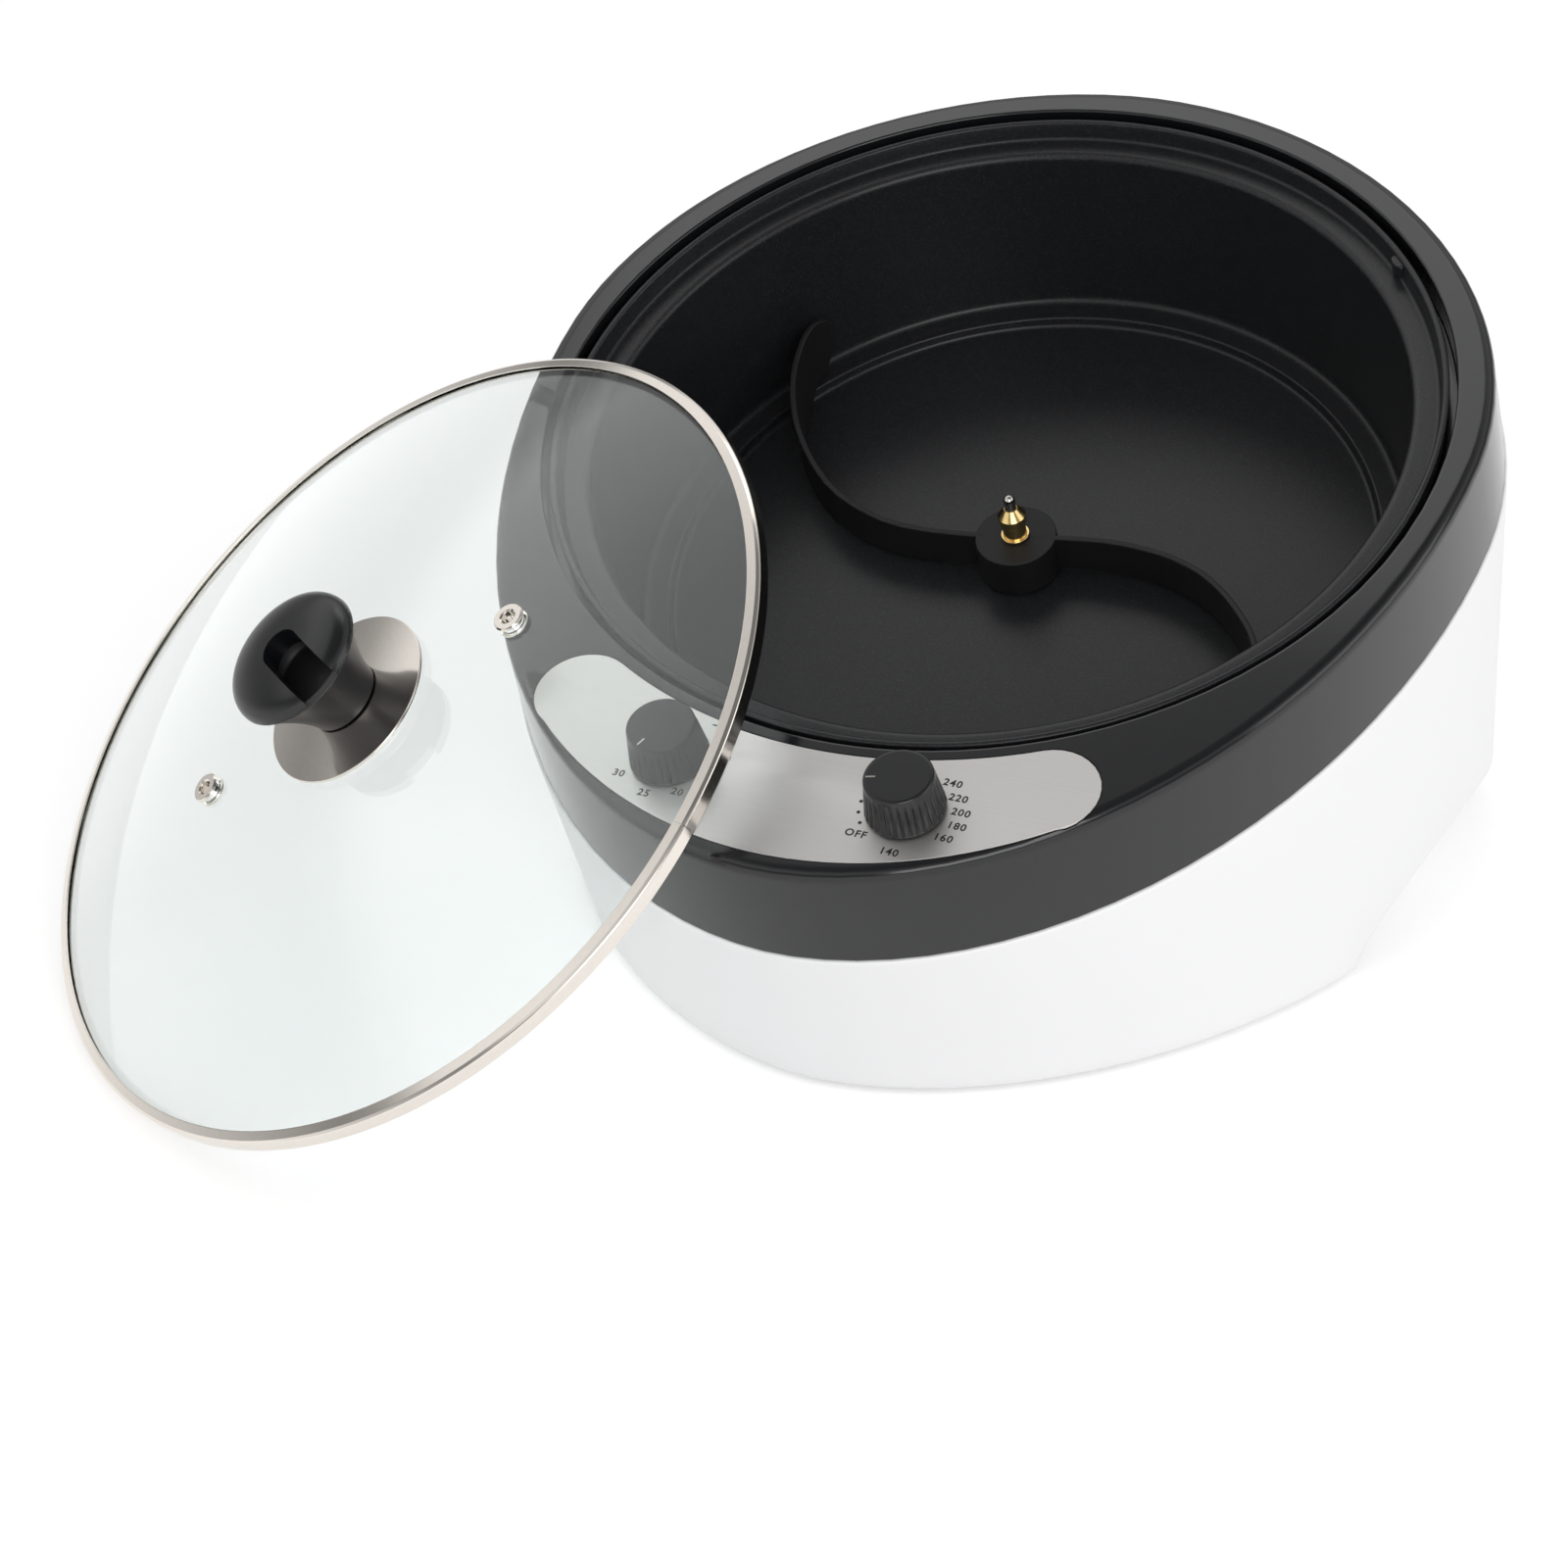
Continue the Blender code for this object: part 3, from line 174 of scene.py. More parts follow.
def turned(build, profile, steps, place=None):
    """A profile of (radius, height) points turned about Z, closed unless it starts on the axis."""
    place = place or Matrix()
    rings = []
    for radius, height in profile:
        rings.append([build.verts.new(place @ Vector((
            radius * math.cos(2 * math.pi * i / steps),
            radius * math.sin(2 * math.pi * i / steps), height)))
            for i in range(steps if radius > weld else 1)])
    joined(build, rings, closed=profile[0][0] > weld)


def lathed(name, profile, steps, look, crease=40, place=None):
    """A finished piece turned from one profile."""
    build = bmesh.new()
    turned(build, profile, steps, place)
    return piece_of(name, build, look, crease)


def rod(radius, low, high):
    """The profile of a plain round rod."""
    return [(0, low), (radius, low), (radius, high), (0, high)]


def eased(profile, radius, steps=4, closed=False):
    """A profile whose corners are rounded, with a support point at each side of a corner."""
    made = []
    count = len(profile)
    for i, (x, y, *own) in enumerate(profile):
        here, bend = Vector((x, y)), own[0] if own else radius
        if bend <= 0 or (not closed and i in (0, count - 1)):
            made.append((x, y))
            continue
        before = Vector(profile[i - 1][:2]) - here
        after = Vector(profile[(i + 1) % count][:2]) - here
        angle = before.angle(after)
        if angle > math.radians(176):
            made.append((x, y))
            continue
        cut = min(bend / math.tan(angle / 2), before.length * 0.38, after.length * 0.38)
        start, end = here + before.normalized() * cut, here + after.normalized() * cut
        made.append(tuple(start + before.normalized() * cut * 0.25))
        for s in range(steps + 1):
            share = s / steps
            made.append(tuple(start.lerp(here, share).lerp(here.lerp(end, share), share)))
        made.append(tuple(end + after.normalized() * cut * 0.25))
    return made


white_abs, tree = finish_of("satin_white_moulded_ABS")
# ABS from a fine spark-eroded mould: a soft sheen with a barely seen grain of about 0.6 mm
point = put(tree, "ShaderNodeTexCoord").outputs["Object"]
grain = put(tree, "ShaderNodeTexNoise", {"Scale": 1600, "Detail": 2}, {"Vector": point})
cloud = put(tree, "ShaderNodeTexNoise", {"Scale": 9, "Detail": 3}, {"Vector": point})
tone = put(tree, "ShaderNodeMix", {"A": srgb("F5F5F6"), "B": srgb("F8F8F9")},
           {"Factor": cloud.outputs["Fac"]}, data_type="RGBA")
sheen = put(tree, "ShaderNodeMapRange", {"To Min": 0.3, "To Max": 0.37},
            {"Value": cloud.outputs["Fac"]})
bump = put(tree, "ShaderNodeBump", {"Strength": 0.05, "Distance": 0.00005},
           {"Height": grain.outputs["Fac"]})
seal(tree, put(tree, "ShaderNodeBsdfPrincipled", {"IOR": 1.53},
               {"Base Color": tone.outputs["Result"], "Roughness": sheen.outputs["Result"],
                "Normal": bump.outputs["Normal"]}))

shell_turns = [2 * math.pi * i / 96 for i in range(96)]
for side in (0, math.pi):
    for sign in (-1, 1):
        for share in (0.9, 0.97, 0.985, 0.993, 0.998, 1.0, 1.003, 1.01, 1.03, 1.1):
            reach = sign * arch_half_length * share + arch_middle
            lean = (reach - foot_widest) / ((foot_back - foot_widest) if reach > foot_widest
                                            else (foot_front + foot_widest))
            turn = math.copysign(math.asin(min(1, abs(lean) ** (foot_power / 2))), lean)
            shell_turns.append((turn if side == 0 else math.pi - turn) % (2 * math.pi))
shell_turns = sorted(set(round(turn, 5) for turn in shell_turns))


def shell_wall_line(turn, inset):
    """The straight line up the shell's wall at a turn, as its lowest and highest points."""
    low = oval(foot_half_width - inset, foot_back - inset, foot_front - inset, foot_widest,
               foot_power, turn)
    edge = ring_edge(band_flare + shell_proud - inset, turn)
    low = Vector((low.x, low.y, -skirt_drop))
    high = pot_place @ Vector((edge.x, edge.y, -band_height))
    lip = pot_place @ Vector((edge.x, edge.y, -band_height - seam))
    share = 1 - (high - lip).length / (high - low).length
    return low, low.lerp(high, share)


def arch_share(low, high):
    """How far up its line the hand arch cuts the wall away."""
    share = 0.0
    for _ in range(12):
        spot = low.lerp(high, share)
        along = abs((spot.y - arch_middle) / arch_half_length)
        if along >= 1 or abs(spot.x) < foot_half_width / 2:
            return 0.0
        roof = arch_height * (1 - along ** arch_power) ** (1 / arch_power)
        share = max(0.0, (roof - low.z) / (high.z - low.z))
    return share


corner_steps = 4
rows = []
for turn in shell_turns:
    low, high = shell_wall_line(turn, 0)
    low_in, high_in = shell_wall_line(turn, shell_wall)
    start = arch_share(low, high)
    low, low_in = low.lerp(high, start), low_in.lerp(high_in, start)
    ease, across = shell_edge / (high - low).length, shell_edge / (low_in - low).length
    arcs = []
    for corner_up, corner_in in ((0, 0), (1, 0), (1, 1), (0, 1)):
        arc = []
        for s in range(corner_steps + 1):
            swing = math.pi / 2 * s / corner_steps
            arc.append((corner_up + (1 - 2 * corner_up) * ease * (1 - math.sin(swing)),
                        corner_in + (1 - 2 * corner_in) * across * (1 - math.cos(swing))))
        arcs.append(arc[::-1] if corner_up == corner_in else arc)
    foot_arc, lip_arc, inner_lip_arc, inner_foot_arc = arcs
    outline = foot_arc + [(0.04 + 0.92 * s / 9, 0) for s in range(10)] + lip_arc
    outline += inner_lip_arc + [(0.9, 1), (0.5, 1), (0.1, 1)] + inner_foot_arc
    rows.append([low.lerp(high, up).lerp(low_in.lerp(high_in, up), inward)
                 for up, inward in outline])
build = bmesh.new()
loop_faces(build, rows)
base_shell = piece_of("base_shell_moulding", build, white_abs)

gland_height, gland_radius = 0.021, 0.0052
hollowed(base_shell, lathed("gland_hole", rod(gland_radius + seam, 0, 0.15), 32, white_abs,
                            place=Matrix.Translation((0, 0, gland_height))
                            @ Matrix.Rotation(-math.pi / 2, 4, "X")))

boss_inset, boss_hole, boss_radius, boss_low, boss_high = 0.0078, 0.0018, 0.0045, 0.0033, 0.0233
build = bmesh.new()
build.from_mesh(base_shell.data)
for degrees in (58, 122, 248, 292):
    spot = oval(foot_half_width - boss_inset, foot_back - boss_inset, foot_front - boss_inset,
                foot_widest, foot_power, math.radians(degrees))
    turned(build, eased([(boss_hole, boss_low), (boss_radius, boss_low), (boss_radius, boss_high),
                         (boss_hole, boss_high)], 0.0003, closed=True), 24,
           Matrix.Translation((spot.x, spot.y, 0)))
build.to_mesh(base_shell.data)
build.free()
base_shell.data.shade_smooth()
base_shell.data.set_sharp_from_angle(angle=math.radians(40))
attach(base_shell, "housing")
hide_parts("base_shell")

# Bottom cover, feet and cover screws: a flat white ABS cover with a roofed pocket behind each
# hand arch, held by four self-tapping steel screws, on four pressed-in rubber feet.


def wear(look, *names):
    """Put a material on solids that keep their own shape."""
    for name in names:
        nodes[name].material_slots[0].material = look


wear(white_abs, "bottom_cover")
rubber, tree = finish_of("matt_black_moulded_rubber")
# Rubber gives back almost no highlight; a fine dust bloom lightens it in patches of 5 mm
point = put(tree, "ShaderNodeTexCoord").outputs["Object"]
bloom = put(tree, "ShaderNodeTexNoise", {"Scale": 200, "Detail": 4}, {"Vector": point})
tone = put(tree, "ShaderNodeMix", {"A": srgb("191919"), "B": srgb("2A2A2A")},
           {"Factor": bloom.outputs["Fac"]}, data_type="RGBA")
bump = put(tree, "ShaderNodeBump", {"Strength": 0.2, "Distance": 0.0001},
           {"Height": bloom.outputs["Fac"]})
seal(tree, put(tree, "ShaderNodeBsdfPrincipled", {"Roughness": 0.8, "IOR": 1.52},
               {"Base Color": tone.outputs["Result"], "Normal": bump.outputs["Normal"]}))
wear(rubber, "foot_rear_right", "foot_rear_left", "foot_front_left", "foot_front_right",
     "lid_washer")

bright_steel, tree = finish_of("bright_stainless_steel")
# Turned and polished stainless steel: a clear mirror broken by a slight, 3 mm wide waviness
point = put(tree, "ShaderNodeTexCoord").outputs["Object"]
wave = put(tree, "ShaderNodeTexNoise", {"Scale": 300, "Detail": 2}, {"Vector": point})
rough = put(tree, "ShaderNodeMapRange", {"To Min": 0.12, "To Max": 0.22},
            {"Value": wave.outputs["Fac"]})
seal(tree, put(tree, "ShaderNodeBsdfPrincipled", {"Base Color": srgb("CFCBC4"), "Metallic": 1},
               {"Roughness": rough.outputs["Result"]}))
wear(bright_steel, "cover_screw_rear_right", "cover_screw_rear_left", "cover_screw_front_left",
     "cover_screw_front_right", "thermal_cutout", "middle_axle", "timer_shaft",
     "temperature_shaft", "lid_screw")

# Top ring: a gloss-black ABS bezel, egg-shaped outside and round inside, moulded with an
# inner ledge for the pot and a shallow bed for the control panel. It snaps onto the shell.
mouth_radius, corner_radius, inner_edge_radius = 0.127, 0.003, 0.0008
band_wall, top_wall, seat_wall, seat_width = 0.0024, 0.0026, 0.0022, 0.0071
seat_depth = 0.0093
seat_foot = seat_depth + seat_wall
panel_inner_radius, panel_margin, panel_sweep = 0.1306, 0.0052, math.radians(27.2)
panel_recess, panel_wall = 0.0009, 0.0006
dials = {"timer": (-0.033, -0.143), "temperature": (0.033, -0.143)}
dial_hole_radius = 0.0034

black_abs, tree = finish_of("gloss_black_moulded_ABS")
# Black ABS from a polished mould: a clear reflection, softened by a slight 20 mm wide ripple
point = put(tree, "ShaderNodeTexCoord").outputs["Object"]
ripple = put(tree, "ShaderNodeTexNoise", {"Scale": 50, "Detail": 1}, {"Vector": point})
specks = put(tree, "ShaderNodeTexNoise", {"Scale": 900, "Detail": 2}, {"Vector": point})
rough = put(tree, "ShaderNodeMapRange", {"To Min": 0.1, "To Max": 0.16},
            {"Value": specks.outputs["Fac"]})
bump = put(tree, "ShaderNodeBump", {"Strength": 0.05, "Distance": 0.0002},
           {"Height": ripple.outputs["Fac"]})
seal(tree, put(tree, "ShaderNodeBsdfPrincipled", {"Base Color": srgb("141517"), "IOR": 1.53},
               {"Roughness": rough.outputs["Result"], "Normal": bump.outputs["Normal"]}))


def panel_outline(growth):
    """The crescent round the front of the mouth, with round ends, grown by a length."""
    inner, outer = [], []
    for i in range(49):
        turn = -math.pi / 2 + panel_sweep * (2 * i / 48 - 1)
        ray = Vector((math.cos(turn), math.sin(turn)))
        inner.append(ray * (panel_inner_radius - growth))
        outer.append(ray * (ring_edge(0, turn).length - panel_margin + growth))
    outline = list(outer)
    for start, end in ((outer[-1], inner[-1]), (inner[0], outer[0])):
        middle = (start + end) / 2
        arm = start - middle
        if start is inner[0]:
            outline += inner[::-1]
        outline += [middle + Matrix.Rotation(math.pi * i / 16, 2) @ arm for i in range(1, 16)]
    return outline


def plate(name, outlines, low, high, look, place, edge=0.0):
    """A flat plate from a filled curve, the first outline its edge and the rest its holes."""
    curve = bpy.data.curves.new(name, "CURVE")
    curve.dimensions, curve.fill_mode = "2D", "BOTH"
    curve.extrude = (high - low) / 2 - edge
    curve.bevel_depth, curve.bevel_resolution, curve.offset = edge, 2, -edge
    for outline in outlines:
        spline = curve.splines.new("POLY")
        spline.points.add(len(outline) - 1)
        for spot, (x, y) in zip(spline.points, outline):
            spot.co = (x, y, 0, 1)
        spline.use_cyclic_u = True
    guide = added(name + "_guide", curve)
    build = bmesh.new()
    build.from_mesh(plain_mesh(guide))
    bpy.data.objects.remove(guide, do_unlink=True)
    bmesh.ops.translate(build, verts=build.verts, vec=(0, 0, (low + high) / 2))
    return piece_of(name, build, look, 50, place)


def flats_kept(piece):
    """Large flat faces keep flat normals beside their rounded edges."""
    step = piece.modifiers.new("flats", "WEIGHTED_NORMAL")
    step.keep_sharp = True
    return applied(piece)


rows = []
for turn in shell_turns:
    outer, lower = ring_edge(0, turn), ring_edge(band_flare, turn)
    ray = outer.normalized()
    reach, low_reach = outer.length, lower.length
    section = eased([(low_reach, -band_height, 0.0004), (reach, 0, corner_radius),
                     (mouth_radius, 0, inner_edge_radius),
                     (mouth_radius, -seat_depth, 0.0003),
                     (mouth_radius - seat_width, -seat_depth, 0.0005),
                     (mouth_radius - seat_width, -seat_foot, 0.0005),
                     (mouth_radius + seat_wall, -seat_foot, 0.0005),
                     (mouth_radius + seat_wall, -top_wall, 0.0005),
                     (reach - band_wall, -top_wall, 0.0005),
                     (low_reach - band_wall, -band_height, 0.0004)], 0, steps=5, closed=True)
    rows.append([(ray.x * r, ray.y * r, z) for r, z in section])
build = bmesh.new()
loop_faces(build, rows)
top_ring = piece_of("top_ring_moulding", build, black_abs, place=pot_place)
cutters = [plate("panel_bed", [panel_outline(seam)], -panel_recess, 0.004, black_abs, pot_place)]
for x, y in dials.values():
    cutters.append(lathed("dial_hole", rod(dial_hole_radius, -0.02, 0.004), 32, black_abs,
                          place=pot_place @ Matrix.Translation((x, y, 0))))
hollowed(top_ring, *cutters, crease=40)
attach(top_ring, "housing")
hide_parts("top_ring")

# Control panel: 0.6 mm aluminium sheet, stamped to a crescent and bonded into its bed, with
# the dial marks screen-printed on it in black.
brushed, tree = finish_of("fine_brushed_anodised_aluminium")
# A long straight brushing along the panel gives pale streaks; real lines are about 0.1 mm
# apart and are drawn at 0.4 mm so that they show
point = put(tree, "ShaderNodeTexCoord").outputs["Object"]
drawn = put(tree, "ShaderNodeMapping", {"Scale": (12, 2400, 2400)}, {"Vector": point})
lines = put(tree, "ShaderNodeTexNoise", {"Scale": 1, "Detail": 3}, {"Vector": drawn.outputs[0]})
tone = put(tree, "ShaderNodeMix", {"A": srgb("DDDBD9"), "B": srgb("E9E7E5")},
           {"Factor": lines.outputs["Fac"]}, data_type="RGBA")
rough = put(tree, "ShaderNodeMapRange", {"To Min": 0.44, "To Max": 0.56},
            {"Value": lines.outputs["Fac"]})
bump = put(tree, "ShaderNodeBump", {"Strength": 0.08, "Distance": 0.00003},
           {"Height": lines.outputs["Fac"]})
seal(tree, put(tree, "ShaderNodeBsdfPrincipled", {"Metallic": 1, "Anisotropic": 0.4},
               {"Base Color": tone.outputs["Result"], "Roughness": rough.outputs["Result"],
                "Normal": bump.outputs["Normal"]}))
panel_high = seam - panel_recess + panel_wall
panel_holes = [[(x + dial_hole_radius * math.cos(-math.pi * i / 16),
                 y + dial_hole_radius * math.sin(-math.pi * i / 16)) for i in range(32)]
               for x, y in dials.values()]
control_panel = flats_kept(plate("panel_sheet", [panel_outline(0)] + panel_holes,
                                 seam - panel_recess, panel_high, brushed, pot_place, 0.00012))
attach(control_panel, "housing")
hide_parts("control_panel")

# Dial marks: plain figures, a row of three dots and a dash in black screen print, laid on the
# brushed panel. The ink is drawn 0.04 mm thick, about twice its real height.


def node_tree(name, *inputs):
    """A geometry node tree with named inputs and one geometry output."""
    tree = bpy.data.node_groups.new(name, "GeometryNodeTree")
    for label, kind in inputs:
        tree.interface.new_socket(label, in_out="INPUT", socket_type="NodeSocket" + kind)
    tree.interface.new_socket("Geometry", in_out="OUTPUT", socket_type="NodeSocketGeometry")
    return tree


def repeated(tree, values, place):
    """The mesh that a geometry node tree makes with these input values, moved to its place."""
    holder = added(tree.name, bpy.data.meshes.new(tree.name))
    step = holder.modifiers.new(tree.name, "NODES")
    step.node_group = tree
    for item in tree.interface.items_tree:
        if item.in_out == "INPUT":
            step[item.identifier] = values[item.name]
    mesh = plain_mesh(holder)
    bpy.data.objects.remove(holder, do_unlink=True)
    mesh.transform(place)
    return mesh


print_ink, tree = finish_of("black_screen_print_ink")
# Matt ink with thin patches a millimetre wide, where the panel's grey almost shows
point = put(tree, "ShaderNodeTexCoord").outputs["Object"]
patch = put(tree, "ShaderNodeTexNoise", {"Scale": 1000, "Detail": 2}, {"Vector": point})
tone = put(tree, "ShaderNodeMix", {"A": srgb("101011"), "B": srgb("282726")},
           {"Factor": patch.outputs["Fac"]}, data_type="RGBA")
seal(tree, put(tree, "ShaderNodeBsdfPrincipled", {"Roughness": 0.6, "IOR": 1.5},
               {"Base Color": tone.outputs["Result"]}))
figure_height, ink_height, dot_radius, dot_sides = 0.0031, 0.00004, 0.0005, 16
dot_arc_radius, dot_arc_start, dot_arc_step = 0.0121, math.radians(183), math.radians(17)
dash_place, dash_stretch = (-0.0256, -0.13, 0), (2.6, 0.5, 1, 1)
build = bmesh.new()
marks = [("OFF", 0.0237, -0.1539), ("140", 0.0342, -0.1573), ("160", 0.0458, -0.1496),
         ("180", 0.0477, -0.1452), ("200", 0.0471, -0.1408), ("220", 0.0447, -0.1365),
         ("240", 0.0415, -0.1322), ("5", -0.0224, -0.1326), ("10", -0.0196, -0.1392),
         ("15", -0.0206, -0.147), ("20", -0.0262, -0.1535), ("25", -0.0347, -0.156),
         ("30", -0.044, -0.1515)]
for text, x, y in marks:
    words = bpy.data.curves.new("mark", "FONT")
    words.body, words.size, words.extrude = text, figure_height, ink_height / 2
    words.align_x, words.align_y, words.resolution_u = "CENTER", "CENTER", 3
    words.offset, words.space_character = 0.00006, 1.15
    guide = added("mark", words)
    mesh = plain_mesh(guide)
    bpy.data.objects.remove(guide, do_unlink=True)
    mesh.transform(Matrix.Translation((x, y, panel_high + ink_height / 2)))
    build.from_mesh(mesh)
dot_arc = node_tree("dot_arc", ("Count", "Int"), ("Radius", "Float"), ("Start", "Float"),
                    ("Step", "Float"), ("Dot Radius", "Float"), ("Thickness", "Float"))
tree, sizes = dot_arc, put(dot_arc, "NodeGroupInput").outputs
number = put(tree, "GeometryNodeInputIndex")
swing = put(tree, "ShaderNodeMath", links={0: number.outputs[0], 1: sizes["Step"],
                                           2: sizes["Start"]}, operation="MULTIPLY_ADD")
along = put(tree, "ShaderNodeMath", links={0: swing.outputs[0]}, operation="COSINE")
across = put(tree, "ShaderNodeMath", links={0: swing.outputs[0]}, operation="SINE")
spot = put(tree, "ShaderNodeCombineXYZ", links={"X": along.outputs[0], "Y": across.outputs[0]})
spot = put(tree, "ShaderNodeVectorMath", links={0: spot.outputs[0], "Scale": sizes["Radius"]},
           operation="SCALE")
points = put(tree, "GeometryNodePoints", links={"Count": sizes["Count"],
                                                "Position": spot.outputs[0]})
dot = put(tree, "GeometryNodeMeshCylinder", {"Vertices": dot_sides},
          {"Radius": sizes["Dot Radius"], "Depth": sizes["Thickness"]})
dots = put(tree, "GeometryNodeInstanceOnPoints", links={"Points": points.outputs[0],
                                                        "Instance": dot.outputs["Mesh"]})
real = put(tree, "GeometryNodeRealizeInstances", links={0: dots.outputs[0]})
inked = put(tree, "GeometryNodeSetMaterial", {"Material": print_ink}, {0: real.outputs[0]})
put(tree, "NodeGroupOutput", links={0: inked.outputs[0]})
x, y = dials["temperature"]
build.from_mesh(repeated(dot_arc, {"Count": 3, "Radius": dot_arc_radius, "Start": dot_arc_start,
                                   "Step": dot_arc_step, "Dot Radius": dot_radius,
                                   "Thickness": ink_height},
                         Matrix.Translation((x, y, panel_high + ink_height / 2))))
turned(build, rod(dot_radius, panel_high, panel_high + ink_height), dot_sides,
       Matrix.Translation(dash_place) @ Matrix.Diagonal(dash_stretch))
dial_marks = piece_of("dial_marks", build, print_ink, place=pot_place)
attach(dial_marks, "housing")

# Roasting pot: drawn 2 mm aluminium with a sprayed and baked non-stick coat inside, a step
# round the floor and a flange that seats the lid. It hangs by its lip in the ring.
pot_wall, lip_radius, lip_drop, flange_depth = 0.002, 0.1229, 0.0012, 0.007
pot_top_radius, pot_foot_radius = 0.1146, 0.1112
step_depth, step_width, pot_depth = 0.0615, 0.0083, 0.0645
bush_hole_radius, lug_turn, lug_reach, lug_radius = 0.0065, math.radians(42), 0.1224, 0.0016
lug_low, lug_high, lug_stretch = -0.0062, -0.0022, 1.9
floor_top = -pot_depth

non_stick, tree = finish_of("sprayed_non_stick_coat")
# PTFE coat over grit-blasted aluminium: dark grey satin, with a fine pale fleck that is
# 0.2 mm in life and drawn at 0.5 mm, and an orange peel of about 1 mm
point = put(tree, "ShaderNodeTexCoord").outputs["Object"]
fleck = put(tree, "ShaderNodeTexNoise", {"Scale": 2100, "Detail": 2}, {"Vector": point})
peel = put(tree, "ShaderNodeTexNoise", {"Scale": 1000, "Detail": 2}, {"Vector": point})
share = put(tree, "ShaderNodeMapRange", {"From Min": 0.5, "From Max": 0.75},
            {"Value": fleck.outputs["Fac"]})
tone = put(tree, "ShaderNodeMix", {"A": srgb("17181A"), "B": srgb("313235")},
           {"Factor": share.outputs["Result"]}, data_type="RGBA")
rough = put(tree, "ShaderNodeMapRange", {"To Min": 0.3, "To Max": 0.42},
            {"Value": fleck.outputs["Fac"]})
bump = put(tree, "ShaderNodeBump", {"Strength": 0.25, "Distance": 0.00004},
           {"Height": peel.outputs["Fac"]})
seal(tree, put(tree, "ShaderNodeBsdfPrincipled", {"IOR": 1.45},
               {"Base Color": tone.outputs["Result"], "Roughness": rough.outputs["Result"],
                "Normal": bump.outputs["Normal"]}))


def walled(profile, wall):
    """A closed section: a line of points and the same line set outward by a wall."""
    line = [Vector(spot) for spot in profile]
    outer = []
    for i, spot in enumerate(line):
        sides = []
        if i:
            sides.append(spot - line[i - 1])
        if i < len(line) - 1:
            sides.append(line[i + 1] - spot)
        normals = [Vector((side.y, -side.x)).normalized() for side in sides]
        middle = sum(normals, Vector((0, 0))).normalized()
        outer.append(tuple(spot + middle * wall / max(0.5, middle.dot(normals[0]))))
    return [tuple(spot) for spot in line], outer


pot_line = [(bush_hole_radius, floor_top), (pot_foot_radius - step_width, floor_top, 0.0018),
            (pot_foot_radius - step_width + 0.0006, -step_depth, 0.0008),
            (pot_foot_radius, -step_depth, 0.0024), (pot_top_radius, -flange_depth, 0.0022),
            (lip_radius - 0.0007, -flange_depth, 0.0011), (lip_radius, -lip_drop)]
pot_inner, pot_outer = walled(eased(pot_line, 0, 5), pot_wall)
lip = [(lip_radius + pot_wall * (0.5 - 0.5 * math.cos(math.pi * s / 6)),
        -lip_drop - 0.0006 + 0.0006 * math.sin(math.pi * s / 6)) for s in range(7)]
pot_section = pot_inner[:-1] + lip + pot_outer[:-1][::-1]
build = bmesh.new()
turned(build, pot_section, 192)
turned(build, eased(rod(lug_radius, lug_low, lug_high), 0.0004), 20,
       Matrix.Rotation(lug_turn, 4, "Z") @ Matrix.Translation((lug_reach, 0, 0))
       @ Matrix.Diagonal((1, lug_stretch, 1, 1)))
roasting_pot = piece_of("roasting_pot_bowl", build, non_stick, 45, pot_place)
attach(roasting_pot, "housing")
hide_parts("roasting_pot")

# Stirrer: one S-shaped blade and its hub, moulded in heat-proof black nylon, standing on the
# shaft bush. Its arms sweep beans off the floor, and its tips rise over the pot's step.
stirrer_foot, hub_radius, hub_height = floor_top + 0.0006, 0.0118, 0.0122
hub_bore, hub_recess, hub_recess_radius, hub_draft = 0.0033, 0.002, 0.0095, 0.0002
blade_reach, tip_height, blade_half_width, half = 0.106, 0.025, 0.0009, 60
arm_path = ((0.0, 0.0), (0.125, -0.022), (0.25, -0.036), (0.36, -0.032), (0.452, -0.011),
            (0.542, 0.028), (0.621, 0.085), (0.692, 0.156), (0.754, 0.236), (0.798, 0.321),
            (0.821, 0.387), (0.833, 0.453), (0.8345, 0.51), (0.826, 0.562), (0.811, 0.605))
arm_top = (0.49, 0.49, 0.5, 0.505, 0.53, 0.555, 0.585, 0.63, 0.7, 0.78, 0.84, 0.9, 0.96, 0.985,
           0.9)
arm_bottom = (0, 0, 0, 0, 0, 0, 0, 0, 0, 0, 0, 0.03, 0.17, 0.22, 0.42)
nylon, tree = finish_of("satin_black_glass_filled_nylon")
# Glass-filled nylon from a fine-textured mould: near-black with a dim, broken sheen
point = put(tree, "ShaderNodeTexCoord").outputs["Object"]
grain = put(tree, "ShaderNodeTexNoise", {"Scale": 1800, "Detail": 3}, {"Vector": point})
tone = put(tree, "ShaderNodeMix", {"A": srgb("0B0B0C"), "B": srgb("131314")},
           {"Factor": grain.outputs["Fac"]}, data_type="RGBA")
bump = put(tree, "ShaderNodeBump", {"Strength": 0.15, "Distance": 0.00005},
           {"Height": grain.outputs["Fac"]})
seal(tree, put(tree, "ShaderNodeBsdfPrincipled", {"Roughness": 0.58, "IOR": 1.5},
               {"Base Color": tone.outputs["Result"], "Normal": bump.outputs["Normal"]}))


def smoothed(values, share):
    """A value on the smooth curve through evenly spaced values."""
    spot = share * (len(values) - 1)
    i = min(int(spot), len(values) - 2)
    t = spot - i
    a, b, c, d = (values[max(0, min(len(values) - 1, j))] for j in range(i - 1, i + 3))
    return 0.5 * (2 * b + (c - a) * t + (2 * a - 5 * b + 4 * c - d) * t * t
                  + (3 * b - a - 3 * c + d) * t * t * t)


